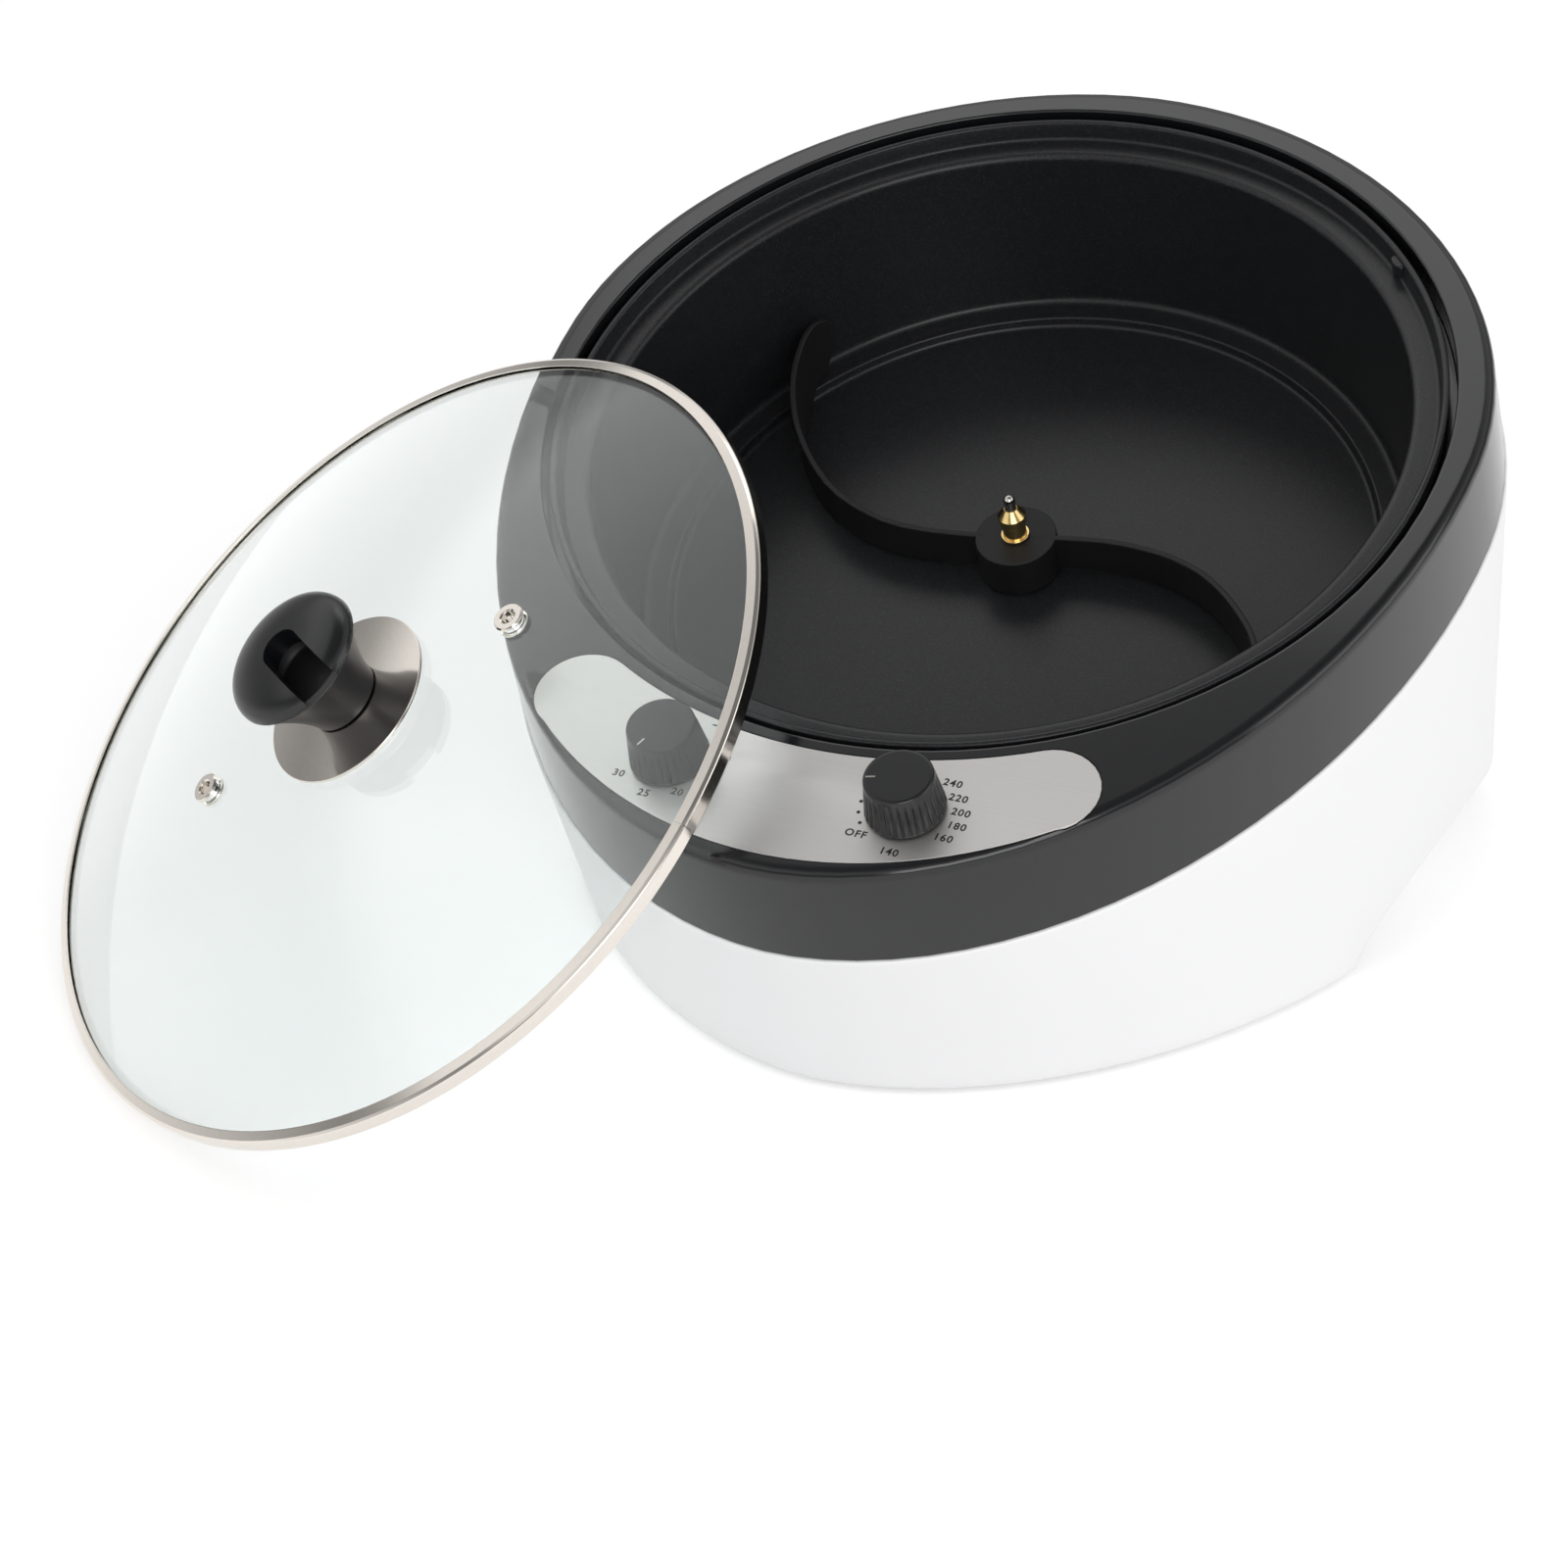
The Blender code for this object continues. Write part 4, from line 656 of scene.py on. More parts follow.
path, tops, bottoms = [], [], []
for i in range(-half, half + 1):
    share = abs(i) / half
    side = 1 if i >= 0 else -1
    x = smoothed([p[0] for p in arm_path], share) * blade_reach
    y = smoothed([p[1] for p in arm_path], share) * blade_reach
    path.append(Vector((-side * x, side * y)))
    tops.append(stirrer_foot + smoothed(arm_top, share) * tip_height)
    bottoms.append(stirrer_foot + max(0, smoothed(arm_bottom, share)) * tip_height)
rows = []
for i, middle in enumerate(path):
    ahead = path[min(i + 1, len(path) - 1)] - path[max(i - 1, 0)]
    across = Vector((-ahead.y, ahead.x)).normalized()
    ring = eased([(-blade_half_width, bottoms[i]), (blade_half_width, bottoms[i]),
                  (blade_half_width, tops[i]), (-blade_half_width, tops[i])],
                 blade_half_width * 0.55, 3, closed=True)
    rows.append([(middle.x + across.x * s, middle.y + across.y * s, z) for s, z in ring])
build = bmesh.new()
grid = loop_faces(build, rows, round_rows=False)
build.faces.new(grid[0])
build.faces.new(grid[-1])
hub_top = stirrer_foot + hub_height
turned(build, eased([(hub_bore, stirrer_foot + hub_recess),
                     (hub_recess_radius, stirrer_foot + hub_recess),
                     (hub_recess_radius, stirrer_foot, 0.0002),
                     (hub_radius + hub_draft, stirrer_foot), (hub_radius, hub_top),
                     (hub_bore, hub_top)], 0.0005, closed=True), 96)
stirrer_blade = piece_of("stirrer_blade_moulding", build, nylon, 50, pot_place)
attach(stirrer_blade, "stirrer")
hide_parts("stirrer_blade")

# Stirrer nut and drive shaft: a turned brass cap nut with a thin flange, a neck and a barrel
# with a cone top, on a stepped steel shaft whose domed tip comes out of it.
brass, tree = finish_of("turned_polished_brass")
# Free-cutting brass straight from the lathe: warm yellow with fine turning rings, 0.15 mm
# apart, that draw the highlights out sideways
point = put(tree, "ShaderNodeTexCoord").outputs["Object"]
upright = put(tree, "ShaderNodeMapping", {"Rotation": (-slope, 0, 0), "Scale": (60, 60, 6500)},
              {"Vector": point})
cuts = put(tree, "ShaderNodeTexNoise", {"Scale": 1, "Detail": 2}, {"Vector": upright.outputs[0]})
rough = put(tree, "ShaderNodeMapRange", {"To Min": 0.14, "To Max": 0.26},
            {"Value": cuts.outputs["Fac"]})
bump = put(tree, "ShaderNodeBump", {"Strength": 0.12, "Distance": 0.00004},
           {"Height": cuts.outputs["Fac"]})
seal(tree, put(tree, "ShaderNodeBsdfPrincipled", {"Base Color": srgb("E3C587"), "Metallic": 1},
               {"Roughness": rough.outputs["Result"], "Normal": bump.outputs["Normal"]}))
nut_foot = hub_top + seam
nut_line = ((0.0018, 0), (0.0041, 0), (0.0041, 0.0008), (0.0034, 0.0008), (0.0034, 0.0052),
            (0.004, 0.0058), (0.0041, 0.0082), (0.0019, 0.0108), (0.0018, 0.0108))
stirrer_nut = lathed("stirrer_nut_turned", eased([(r, nut_foot + up) for r, up in nut_line],
                                                 0.0002, 3, closed=True), 64, brass, 30, pot_place)
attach(stirrer_nut, "stirrer")
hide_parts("stirrer_nut")

shaft_radius, shaft_neck, shaft_end = 0.003, 0.0017, nut_foot + 0.0155
to_pot = pot_place.inverted() @ nodes["drive_shaft"].matrix_world
shaft_foot = min((to_pot @ vert.co).z for vert in nodes["drive_shaft"].data.vertices)
tip_swings = [math.pi / 2 * s / 8 for s in range(1, 9)]
shaft_line = [(0, shaft_end)] + [(shaft_neck * math.sin(swing),
                                  shaft_end - shaft_neck * (1 - math.cos(swing)))
                                 for swing in tip_swings]
shaft_line += [(shaft_neck, hub_top), (shaft_radius, hub_top), (shaft_radius, shaft_foot),
               (0, shaft_foot)]
drive_shaft = lathed("drive_shaft_ground", shaft_line, 48, bright_steel, place=pot_place)
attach(drive_shaft, "stirrer")
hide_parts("drive_shaft")
wear(brass, "middle_pinion", "motor_pinion")

# Shaft bush and heater: a sintered bronze bush through the pot's floor, and a steel-sheathed
# ring heater clipped under it.
bronze, tree = finish_of("sintered_bronze")
# Pressed bronze powder soaked in oil: brown, dull, with 0.3 mm pores
point = put(tree, "ShaderNodeTexCoord").outputs["Object"]
pores = put(tree, "ShaderNodeTexVoronoi", {"Scale": 3000}, {"Vector": point})
tone = put(tree, "ShaderNodeMix", {"A": srgb("6E5330"), "B": srgb("A98A57")},
           {"Factor": pores.outputs["Distance"]}, data_type="RGBA")
seal(tree, put(tree, "ShaderNodeBsdfPrincipled", {"Metallic": 1, "Roughness": 0.45},
               {"Base Color": tone.outputs["Result"]}))
wear(bronze, "shaft_bush")
sheath, tree = finish_of("heat_tinted_steel_sheath")
# A heater's steel sheath goes straw-brown and grey where it has run hot, in 15 mm patches
point = put(tree, "ShaderNodeTexCoord").outputs["Object"]
tint = put(tree, "ShaderNodeTexNoise", {"Scale": 65, "Detail": 4}, {"Vector": point})
tone = put(tree, "ShaderNodeMix", {"A": srgb("5D5A58"), "B": srgb("8A7A66")},
           {"Factor": tint.outputs["Fac"]}, data_type="RGBA")
seal(tree, put(tree, "ShaderNodeBsdfPrincipled", {"Metallic": 1, "Roughness": 0.48},
               {"Base Color": tone.outputs["Result"]}))
wear(sheath, "heating_element")

# Heat shield, gear case and motor: pressed aluminium and zinc-plated steel, screwed together
# under the pot. Moulded nylon gears and brass pinions run in grease between motor and shaft.
pressed, tree = finish_of("pressed_bare_aluminium")
# Pressed sheet keeps faint rolling lines, 1 mm apart, and a soft grey shine
point = put(tree, "ShaderNodeTexCoord").outputs["Object"]
rolled = put(tree, "ShaderNodeMapping", {"Scale": (1000, 30, 1000)}, {"Vector": point})
lines = put(tree, "ShaderNodeTexNoise", {"Scale": 1, "Detail": 2}, {"Vector": rolled.outputs[0]})
rough = put(tree, "ShaderNodeMapRange", {"To Min": 0.3, "To Max": 0.45},
            {"Value": lines.outputs["Fac"]})
seal(tree, put(tree, "ShaderNodeBsdfPrincipled", {"Base Color": srgb("BFC0C2"), "Metallic": 1},
               {"Roughness": rough.outputs["Result"]}))
wear(pressed, "heat_shield")
plated, tree = finish_of("zinc_plated_steel")
# Zinc plate has soft spangled patches about 6 mm across
point = put(tree, "ShaderNodeTexCoord").outputs["Object"]
spangle = put(tree, "ShaderNodeTexVoronoi", {"Scale": 160}, {"Vector": point})
tone = put(tree, "ShaderNodeMix", {"A": srgb("A8ABAE"), "B": srgb("BCC0C4")},
           {"Factor": spangle.outputs["Distance"]}, data_type="RGBA")
seal(tree, put(tree, "ShaderNodeBsdfPrincipled", {"Metallic": 1, "Roughness": 0.38},
               {"Base Color": tone.outputs["Result"]}))
wear(plated, "gear_case", "gear_case_cover", "motor_can")
gear_nylon, tree = finish_of("natural_moulded_nylon")
# Unpigmented nylon: cream, slightly see-through, with a greasy sheen in 3 mm smears
point = put(tree, "ShaderNodeTexCoord").outputs["Object"]
smear = put(tree, "ShaderNodeTexNoise", {"Scale": 330, "Detail": 2}, {"Vector": point})
rough = put(tree, "ShaderNodeMapRange", {"To Min": 0.25, "To Max": 0.5},
            {"Value": smear.outputs["Fac"]})
seal(tree, put(tree, "ShaderNodeBsdfPrincipled",
               {"Base Color": srgb("E6E0CB"), "IOR": 1.53, "Subsurface Weight": 0.15,
                "Subsurface Scale": 0.002},
               {"Roughness": rough.outputs["Result"]}))
wear(gear_nylon, "output_gear", "middle_gear")
laminations, tree = finish_of("stacked_steel_laminations")
# Motor iron is a stack of 0.5 mm sheets, seen as dark and pale lines round it
point = put(tree, "ShaderNodeTexCoord").outputs["Object"]
stack = put(tree, "ShaderNodeMapping", {"Rotation": (-slope, 0, 0)}, {"Vector": point})
sheets = put(tree, "ShaderNodeTexWave", {"Scale": 310}, {"Vector": stack.outputs[0]},
             bands_direction="Z")
tone = put(tree, "ShaderNodeMix", {"A": srgb("3B3B3D"), "B": srgb("6A6A6C")},
           {"Factor": sheets.outputs["Fac"]}, data_type="RGBA")
seal(tree, put(tree, "ShaderNodeBsdfPrincipled", {"Metallic": 1, "Roughness": 0.45},
               {"Base Color": tone.outputs["Result"]}))
wear(laminations, "motor_rotor")
winding, tree = finish_of("enamelled_copper_winding")
# Wound wire under amber enamel, 0.4 mm thick and drawn 0.8 mm: painted highlight on each
# wire and painted shade between wires, as bright and dark brown ridges lying round the coil
point = put(tree, "ShaderNodeTexCoord").outputs["Object"]
wound = put(tree, "ShaderNodeMapping", {"Rotation": (-slope, 0, 0)}, {"Vector": point})
wire_light_and_shade = put(tree, "ShaderNodeTexWave", {"Scale": 390, "Distortion": 1},
            {"Vector": wound.outputs[0]}, bands_direction="Z")
# The dark brown is painted shade between the wires; the bright brown is painted highlight on them
tone = put(tree, "ShaderNodeMix", {"A": srgb("5B2E14"), "B": srgb("B4672F")},
           {"Factor": wire_light_and_shade.outputs["Fac"]}, data_type="RGBA")
seal(tree, put(tree, "ShaderNodeBsdfPrincipled",
               {"Metallic": 0.8, "Roughness": 0.35, "Coat Weight": 0.4, "Coat Roughness": 0.2},
               {"Base Color": tone.outputs["Result"]}))
wear(winding, "motor_stator")

# Timer, thermostat, terminal block and mains inlet bush: bought-in parts in phenolic, ceramic
# white nylon and black nylon, under the panel and at the back.
phenolic, tree = finish_of("grey_phenolic_moulding")
# Control bodies are a matt, faintly mottled grey-cream moulding, mottle 8 mm wide
point = put(tree, "ShaderNodeTexCoord").outputs["Object"]
mottle = put(tree, "ShaderNodeTexNoise", {"Scale": 120, "Detail": 4}, {"Vector": point})
tone = put(tree, "ShaderNodeMix", {"A": srgb("B4AFA3"), "B": srgb("C9C5BA")},
           {"Factor": mottle.outputs["Fac"]}, data_type="RGBA")
seal(tree, put(tree, "ShaderNodeBsdfPrincipled", {"Roughness": 0.55, "IOR": 1.6},
               {"Base Color": tone.outputs["Result"]}))
wear(phenolic, "timer_body", "thermostat_body", "terminal_block")
wear(nylon, "cord_gland")

# Dial knobs: gloss-black ABS, moulded with 30 rounded flutes on a cone, a plain band and a
# flat polished top with a hot-stamped pointer line; each is pressed onto its shaft.
knob_foot_radius, knob_top_radius, knob_height, knob_lift = 0.0105, 0.0091, 0.0118, 0.0008
flutes, flute_depth, flute_foot, flute_head = 30, 0.0005, 0.0008, 0.0026
columns, knob_chamfer, flute_overhang = flutes * 8, 0.0007, 0.0003
line_start, line_end, line_half_width, line_height = 0.0058, 0.0083, 0.0002, 0.00012
line_turns = {"timer": math.radians(250), "temperature": math.radians(196)}
knob_black, tree = finish_of("polished_black_knob_ABS")
# A polished mould gives the flat top and each flute a sharp, bright line of light; handling
# leaves 4 mm patches of slightly duller gloss
point = put(tree, "ShaderNodeTexCoord").outputs["Object"]
handled = put(tree, "ShaderNodeTexNoise", {"Scale": 250, "Detail": 3}, {"Vector": point})
rough = put(tree, "ShaderNodeMapRange", {"To Min": 0.2, "To Max": 0.27},
            {"Value": handled.outputs["Fac"]})
seal(tree, put(tree, "ShaderNodeBsdfPrincipled", {"Base Color": srgb("121315"), "IOR": 1.53},
               {"Roughness": rough.outputs["Result"]}))
for dial, (x, y) in dials.items():
    low = panel_high + knob_lift
    high = low + knob_height
    profile = [(0.0, low, 0), (knob_foot_radius - 0.0012, low, 0), (knob_foot_radius, low, 0),
               (knob_foot_radius + 0.0001, low + 0.0003, 0.2)]
    for s in range(9):
        share = s / 8
        radius = knob_foot_radius + (knob_top_radius + flute_overhang - knob_foot_radius) * share
        profile.append((radius, low + flute_foot + (knob_height - flute_foot - flute_head) * share,
                        1.0 if s < 8 else 0.75))
    profile += [(knob_top_radius + 0.0001, high - 0.0019, 0), (knob_top_radius, high - 0.0011, 0)]
    profile += [(knob_top_radius - knob_chamfer * (1 - math.cos(math.pi / 2 * s / 5)),
                 high - knob_chamfer * (1 - math.sin(math.pi / 2 * s / 5)), 0)
                for s in range(6)]
    profile += [(knob_top_radius - knob_chamfer - 0.0004, high, 0), (0.0, high, 0)]
    build = bmesh.new()
    rings = []
    for radius, height, fluted in profile:
        ring = []
        for c in range(columns if radius else 1):
            turn = 2 * math.pi * c / columns
            wave = abs(math.sin(flutes * turn / 2))
            reach = radius - flute_depth * fluted * (1 - wave)
            ring.append(build.verts.new((reach * math.cos(turn), reach * math.sin(turn), height)))
        rings.append(ring)
    joined(build, rings, closed=False)
    dial_place = pot_place @ Matrix.Translation((x, y, 0))
    knob = piece_of(f"{dial}_knob_moulding", build, knob_black, 50, dial_place)
    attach(knob, f"{dial}_dial")
    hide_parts(f"{dial}_knob")
    build = bmesh.new()
    loop_faces(build, [[(line_end, -line_half_width, level), (line_end, line_half_width, level),
                        (line_start, line_half_width, level),
                        (line_start, -line_half_width, level)]
                       for level in (high - 0.0001, high - 0.0001 + line_height)],
               round_rows=False)
    bmesh.ops.holes_fill(build, edges=build.edges, sides=0)
    pointer = piece_of(f"{dial}_pointer", build, bright_steel,
                       place=dial_place @ Matrix.Rotation(line_turns[dial], 4, "Z"))
    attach(pointer, f"{dial}_dial")

# Lid glass: 3 mm soda-lime glass, sagged to a shallow dome and toughened, with a hole for
# the knob screw and two for the steam vents.
lid_radius, lid_tilt, lid_turn = 0.1227, math.radians(36.85), math.radians(-34.9)
lid_rise, glass_wall, glass_edge_height, rim_sheet, rim_lap = 0.0194, 0.0031, 0.0014, 0.0006, 0.0034
glass_radius = lid_radius - rim_sheet - seam * 2
dome_radius = (glass_radius ** 2 + lid_rise ** 2) / (2 * lid_rise)
dome_middle = glass_edge_height + lid_rise - dome_radius
vent_place, vent_turn, vent_hole_radius, screw_hole_radius = 0.053, math.radians(60), 0.0034, 0.0025
worktop = -0.0025


def dome(radius, above=0.0):
    """Height of the glass's outer face at a radius, or of a surface parallel to it."""
    return dome_middle + math.sqrt((dome_radius + above) ** 2 - radius ** 2)


lap_radius = lid_radius - rim_lap
channel_radius = glass_radius + seam
rim_low = dome(glass_radius, -glass_wall) - seam
rim_corners = [(lap_radius, dome(lap_radius) + seam + rim_sheet),
               (channel_radius, dome(glass_radius) + seam + rim_sheet),
               (lid_radius, dome(glass_radius) + seam), (lid_radius, rim_low),
               (channel_radius, rim_low - rim_sheet),
               (lap_radius, dome(lap_radius, -glass_wall) - seam - rim_sheet),
               (lap_radius, dome(lap_radius, -glass_wall) - seam), (channel_radius, rim_low),
               (channel_radius, dome(glass_radius) + seam), (lap_radius, dome(lap_radius) + seam)]
lid_height = max(r * math.sin(lid_tilt) - z * math.cos(lid_tilt) for r, z in rim_corners) + worktop
lid_place = (Matrix.Translation((-0.1253, -0.1261, lid_height))
             @ Matrix.Rotation(lid_turn, 4, "Z") @ Matrix.Rotation(lid_tilt, 4, "X"))

glass, tree = finish_of("toughened_soda_lime_glass")
# Soda-lime glass 3 mm thick: clear with a faint grey-green body and a barely wavy face that
# ripples the reflections over about 60 mm
point = put(tree, "ShaderNodeTexCoord").outputs["Object"]
sag = put(tree, "ShaderNodeTexNoise", {"Scale": 16, "Detail": 1}, {"Vector": point})
bump = put(tree, "ShaderNodeBump", {"Strength": 0.03, "Distance": 0.0005},
           {"Height": sag.outputs["Fac"]})
seal(tree, put(tree, "ShaderNodeBsdfPrincipled",
               {"Base Color": srgb("EFF3F2"), "Roughness": 0.0, "IOR": 1.52,
                "Transmission Weight": 1},
               {"Normal": bump.outputs["Normal"]}))
glass_outer = [(glass_radius * i / 24, dome(glass_radius * i / 24)) for i in range(1, 25)]
glass_inner = [(r, dome(r, -glass_wall)) for r, z in glass_outer]
glass_section = ([(screw_hole_radius, dome(screw_hole_radius))] + glass_outer
                 + [(glass_radius, dome(glass_radius, -glass_wall * 0.5))] + glass_inner[::-1]
                 + [(screw_hole_radius, dome(screw_hole_radius, -glass_wall))])
lid_glass = lathed("lid_glass_pane", glass_section, 160, glass, 50, lid_place)
vent_places, cutters = [], []
for turn in (vent_turn, vent_turn + math.pi):
    spot = (vent_place * math.cos(turn), vent_place * math.sin(turn), dome(vent_place))
    vent_places.append(lid_place @ Matrix.Translation(spot) @ Matrix.Rotation(turn, 4, "Z")
                       @ Matrix.Rotation(math.asin(vent_place / dome_radius), 4, "Y"))
    cutters.append(lathed("vent_hole", rod(vent_hole_radius, -0.01, 0.01), 48, glass,
                          place=vent_places[-1]))
hollowed(lid_glass, *cutters)
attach(lid_glass, "lid")
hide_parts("lid_glass")

# Lid rim: a rolled U-channel of 0.6 mm polished stainless steel strip, closed round the
# glass, with its butt joint left showing.
polished, tree = finish_of("mirror_polished_stainless_strip")
# Buffed strip: a mirror, with the soft patches that the mop leaves, drawn 1.4 mm wide
point = put(tree, "ShaderNodeTexCoord").outputs["Object"]
buffed = put(tree, "ShaderNodeTexNoise", {"Scale": 700, "Detail": 3}, {"Vector": point})
tone = put(tree, "ShaderNodeMix", {"A": srgb("E4DDD5"), "B": srgb("EAE4DC")},
           {"Factor": buffed.outputs["Fac"]}, data_type="RGBA")
rough = put(tree, "ShaderNodeMapRange", {"To Min": 0.09, "To Max": 0.12},
            {"Value": buffed.outputs["Fac"]})
seal(tree, put(tree, "ShaderNodeBsdfPrincipled", {"Metallic": 1},
               {"Base Color": tone.outputs["Result"], "Roughness": rough.outputs["Result"]}))
rim_bends = [0.0006 if i in (1, 2, 3, 4) else 0.00022 for i in range(len(rim_corners))]
rim_line = eased([(*spot, bend) for spot, bend in zip(rim_corners, rim_bends)], 0, 4, closed=True)
lid_rim = lathed("lid_rim_strip", rim_line, 192, polished, 60, lid_place)
joint_turn, joint_half_gap, joint_overrun = math.radians(18), 0.00009, 0.001
joint_line = [(lap_radius - joint_overrun, -joint_half_gap),
              (lid_radius + joint_overrun, -joint_half_gap),
              (lid_radius + joint_overrun, joint_half_gap),
              (lap_radius - joint_overrun, joint_half_gap)]
hollowed(lid_rim, plate("rim_joint", [joint_line], -0.008, 0.012, polished,
                        lid_place @ Matrix.Rotation(joint_turn, 4, "Z")))
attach(lid_rim, "lid")
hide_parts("lid_rim")

# Lid plate: a disc of 0.9 mm stainless steel, pressed to the curve of the glass and polished.
# It lies between knob and glass and spreads the pull of the knob's screw.
disc_radius, disc_wall = 0.0258, 0.0009
disc_radii = [screw_hole_radius + (disc_radius - screw_hole_radius) * i / 10 for i in range(11)]
disc_section = eased([(r, dome(r) + seam + disc_wall) for r in disc_radii]
                     + [(r, dome(r) + seam) for r in disc_radii[::-1]], 0.0003, 4, closed=True)
lid_plate = lathed("lid_plate_disc", disc_section, 128, polished, 50, lid_place)
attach(lid_plate, "lid")
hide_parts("lid_plate")

# Vent eyelets: two stainless steel eyelets that let the steam out, one at each side of the
# knob, rolled over both faces of the glass.
eyelet_line = eased([(0.0019, 0.0008), (0.0024, 0.0012), (0.004, 0.0012), (0.0044, 0.0008),
                     (0.0044, 0.0003), (0.0031, 0.0003), (0.0031, -0.0034), (0.0044, -0.0034),
                     (0.0044, -0.0039), (0.004, -0.0043), (0.0024, -0.0043),
                     (0.0019, -0.0039)], 0.0002, 3, closed=True)
for name, place in zip(("vent_eyelet_upper", "vent_eyelet_lower"), vent_places):
    eyelet = lathed(name + "_rolled", eyelet_line, 64, polished, 50, place)
    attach(eyelet, "lid")
    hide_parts(name)

# Lid knob: a flared base in satin black phenolic with a gloss-black cap snapped on, whose
# finger slot runs from its middle out through one side.
base_foot, base_flare, base_radius, base_height, base_hollow = 0.0108, 1.5, 0.0203, 0.0192, 0.0065
knob_low = dome(0.0022) + seam * 2 + disc_wall
knob_rim = knob_low + base_height
knob_edge = base_radius - rim_sheet
base_line = [(0, knob_rim - base_hollow), (0.0105, knob_rim - base_hollow, 0.001),
             (0.0165, knob_rim - 0.0004), (0.0168, knob_rim), (knob_edge, knob_rim, 0.0004)]
for i in range(1, 31):
    share = 1 - i / 30
    base_line.append((base_foot + (knob_edge - base_foot) * share ** base_flare,
                      knob_low + share * base_height, 0.0004 if i == 30 else 0))
base_line.append((0, knob_low))
satin_black, tree = finish_of("satin_black_phenolic")
# Phenolic moulding rubbed to a satin face: charcoal, with broad soft lights and a 1 mm grain
point = put(tree, "ShaderNodeTexCoord").outputs["Object"]
grain = put(tree, "ShaderNodeTexNoise", {"Scale": 1000, "Detail": 3}, {"Vector": point})
tone = put(tree, "ShaderNodeMix", {"A": srgb("1E1E20"), "B": srgb("29292B")},
           {"Factor": grain.outputs["Fac"]}, data_type="RGBA")
seal(tree, put(tree, "ShaderNodeBsdfPrincipled", {"Roughness": 0.34, "IOR": 1.6},
               {"Base Color": tone.outputs["Result"]}))
lid_knob_base = lathed("lid_knob_base_moulding", eased(base_line, 0, 3), 96, satin_black, 50,
                       lid_place)
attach(lid_knob_base, "lid")
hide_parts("lid_knob_base")

cap_low, cap_height, slot_half_width, slot_reach = knob_rim + seam, 0.0064, 0.0057, 0.024
cap_high, cap_edge = cap_low + cap_height, 0.0004
cap_shares = ((1.0, 0.0), (0.985, 0.28), (0.93, 0.55), (0.8, 0.78), (0.5, 0.95), (0, 1.0))
cap_line = [(base_radius * reach, cap_low + cap_height * up) for reach, up in cap_shares]
cap_curve = [tuple(smoothed(values, s / 24) for values in zip(*cap_line)) for s in range(24)]
lid_knob_cap = lathed("lid_knob_cap_moulding", [(0, cap_low), (base_radius - 0.0003, cap_low)]
                      + [(min(r, base_radius), z) for r, z in cap_curve[1:]] + [(0, cap_high)],
                      96, knob_black, 50, lid_place)
slot_swings = [math.pi / 2 + math.pi * i / 24 for i in range(25)]
slot_line = [(slot_half_width * math.cos(swing), slot_half_width * math.sin(swing))
             for swing in slot_swings]
slot_line += [(slot_reach, -slot_half_width), (slot_reach, slot_half_width)]
hollowed(lid_knob_cap, plate("cap_slot", [slot_line], cap_low - 0.004, cap_high + 0.004,
                             knob_black, lid_place))
edge = lid_knob_cap.modifiers.new("edge", "BEVEL")
edge.width, edge.segments, edge.limit_method = cap_edge, 3, "ANGLE"
edge.angle_limit = math.radians(50)
flats_kept(lid_knob_cap)
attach(lid_knob_cap, "lid")
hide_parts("lid_knob_cap")

# Floor: a flat sheet of matt white paper under the roaster, which is no part of the object. It
# shows as pure white and keeps the shadow.
paper_lift, paper_drop, paper_half = 0.4, 0.00005, 6.0
paper, tree = finish_of("white_paper_sweep")
# Matt paper: the camera sees it lifted to white, and it still takes a soft contact shadow
rays = put(tree, "ShaderNodeLightPath")
direct = put(tree, "ShaderNodeMath", links={0: rays.outputs["Is Camera Ray"],
                                            1: rays.outputs["Is Glossy Ray"]}, operation="ADD")
shown = put(tree, "ShaderNodeMath", links={0: direct.outputs[0],
                                           1: rays.outputs["Is Transmission Ray"]},
            operation="ADD", use_clamp=True)
lift = put(tree, "ShaderNodeMath", {1: paper_lift}, {0: shown.outputs[0]}, operation="MULTIPLY")
seal(tree, put(tree, "ShaderNodeBsdfPrincipled",
               {"Base Color": srgb("E6E6E6"), "Roughness": 0.9, "IOR": 1.3,
                "Emission Color": (1, 1, 1, 1)},
               {"Emission Strength": lift.outputs[0]}))
floor_mesh = bpy.data.meshes.new("paper_floor")
floor_mesh.from_pydata([(x * paper_half, y * paper_half, worktop - paper_drop)
                        for x, y in ((-1, -1), (1, -1), (1, 1), (-1, 1))], [], [(0, 1, 2, 3)])
floor_mesh.materials.append(paper)
floor = added("paper_floor", floor_mesh)

# Light: a white studio with a dim ceiling, brighter to the left. A soft box in front and one at
# the right light the shell, and one hung high behind gives the pot and the ring their sheen.
diffuse_level, ceiling_level, floor_level = 0.66, 0.2, 0.8
world = bpy.data.worlds.new("studio")
bpy.context.scene.world = world
world.use_nodes = True
tree = world.node_tree
tree.nodes.clear()
rays = put(tree, "ShaderNodeLightPath")
ray_way = put(tree, "ShaderNodeTexCoord").outputs["Generated"]
parts = put(tree, "ShaderNodeSeparateXYZ", links={0: ray_way})
overhead = put(tree, "ShaderNodeValToRGB", links={"Fac": parts.outputs["Z"]})
heights = ((0.37, 0.22), (0.43, 0.3), (0.51, 0.8), (0.66, 0.82), (0.8, 0.68), (0.86, 0.52),
           (0.93, 0.2))
for stop, level in zip(overhead.color_ramp.elements, (floor_level, ceiling_level)):
    stop.color = (level, level, level, 1)
for place, level in heights:
    overhead.color_ramp.elements.new(place).color = (level, level, level, 1)
aside = put(tree, "ShaderNodeMapRange", {"From Min": -0.5, "From Max": 0.3, "To Min": 1.2,
                                         "To Max": 0.8}, {"Value": parts.outputs["X"]})
wall = put(tree, "ShaderNodeMath", links={0: overhead.outputs["Color"],
                                          1: aside.outputs["Result"]}, operation="MULTIPLY")
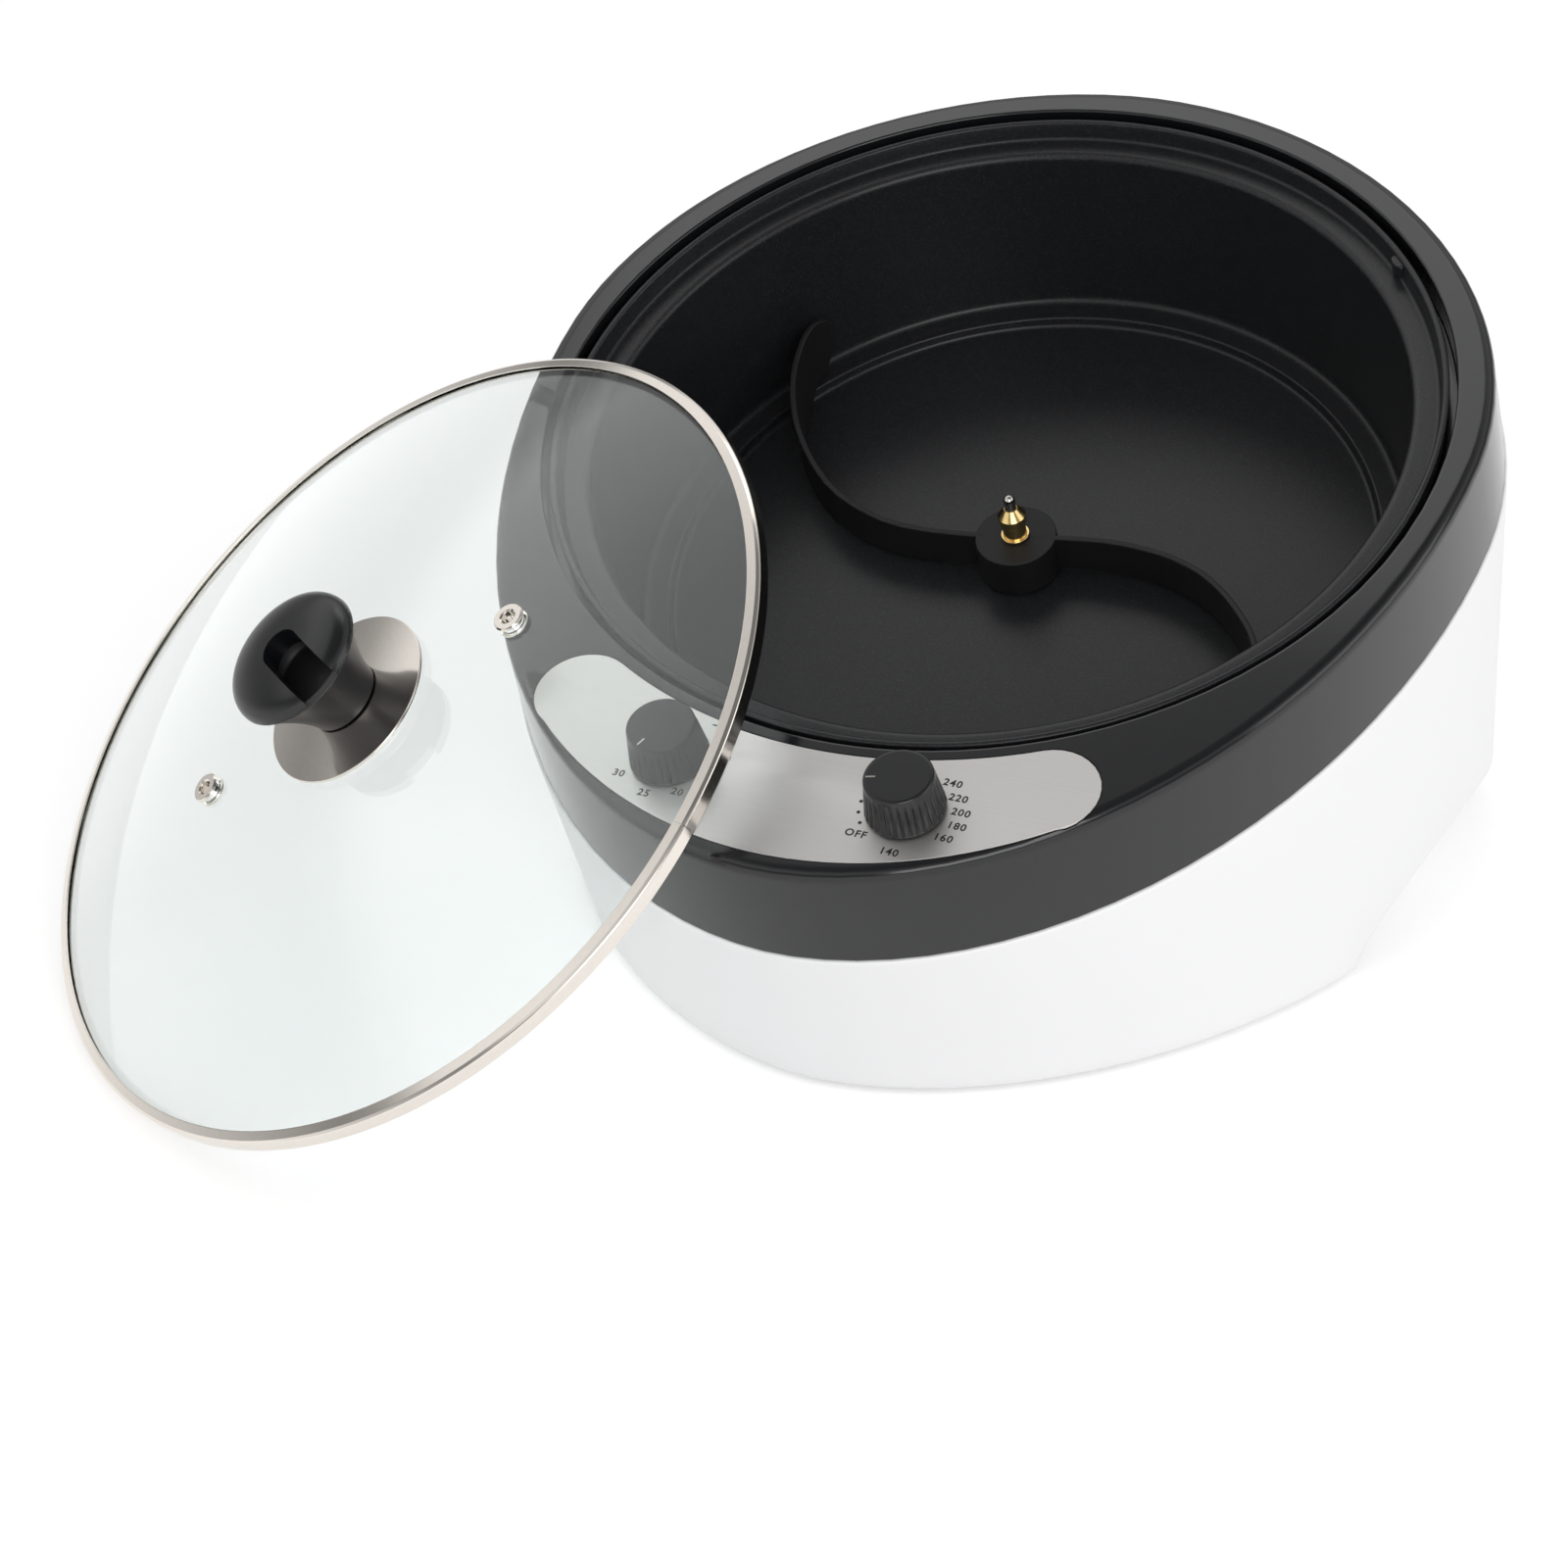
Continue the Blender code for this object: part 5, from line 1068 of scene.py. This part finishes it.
glossy = put(tree, "ShaderNodeMath", links={0: rays.outputs["Is Glossy Ray"],
                                            1: wall.outputs[0]}, operation="MULTIPLY")
seen = put(tree, "ShaderNodeMath", links={0: rays.outputs["Is Camera Ray"],
                                          1: rays.outputs["Is Transmission Ray"]},
           operation="ADD", use_clamp=True)
diffuse = put(tree, "ShaderNodeMath", {1: diffuse_level}, {0: rays.outputs["Is Diffuse Ray"]},
              operation="MULTIPLY")
total = put(tree, "ShaderNodeMath", links={0: glossy.outputs[0], 1: seen.outputs[0]},
            operation="ADD")
total = put(tree, "ShaderNodeMath", links={0: total.outputs[0], 1: diffuse.outputs[0]},
            operation="ADD")
back = put(tree, "ShaderNodeBackground", {"Color": (1, 1, 1, 1)},
           {"Strength": total.outputs[0]})
put(tree, "ShaderNodeOutputWorld", links={"Surface": back.outputs[0]})


def soft_box(name, spot, aim, size, power):
    """A rectangular area light at a spot, aimed at a point."""
    lamp = bpy.data.lights.new(name, "AREA")
    lamp.shape, lamp.size, lamp.size_y, lamp.energy = "RECTANGLE", size[0], size[1], power
    holder = added(name, lamp)
    holder.location = spot
    holder.rotation_euler = (Vector(aim) - Vector(spot)).to_track_quat("-Z", "Y").to_euler()


soft_box("front_box", spot=(0.9, -1.6, 0.9), aim=(0, 0, 0.08), size=(1.2, 1.0), power=12)
soft_box("back_box", spot=(-0.42, 0.74, 1.3), aim=(-0.42, 0.74, 0), size=(0.8, 0.5), power=1.1)
soft_box("side_box", spot=(1.7, 0.2, 0.8), aim=(0, 0, 0.08), size=(1.2, 1.0), power=5)

# Camera: the photograph's view from the front right, 33 degrees down, through a long lens that
# is rolled 4 degrees. It was fitted to the circles of the pot.
eye, target = Vector((0.34887, -0.80312, 0.58327)), Vector((-0.03148, -0.07880, 0.04970))
roll = math.radians(-4.0)
lens = bpy.data.cameras.new("photograph_view")
lens.lens, lens.sensor_width = 81.0, 36.0
lens.clip_start, lens.clip_end = 0.01, 50
camera = added("photograph_view", lens)
back_way = (eye - target).normalized()
right = Vector((-back_way.y, back_way.x, 0)).normalized()
up = back_way.cross(right)
across = right * math.cos(roll) + up * math.sin(roll)
upward = up * math.cos(roll) - right * math.sin(roll)
camera.matrix_world = Matrix((
    (across.x, upward.x, back_way.x, eye.x), (across.y, upward.y, back_way.y, eye.y),
    (across.z, upward.z, back_way.z, eye.z), (0, 0, 0, 1)))
bpy.context.scene.camera = camera
bpy.context.scene.view_settings.view_transform = "Standard"
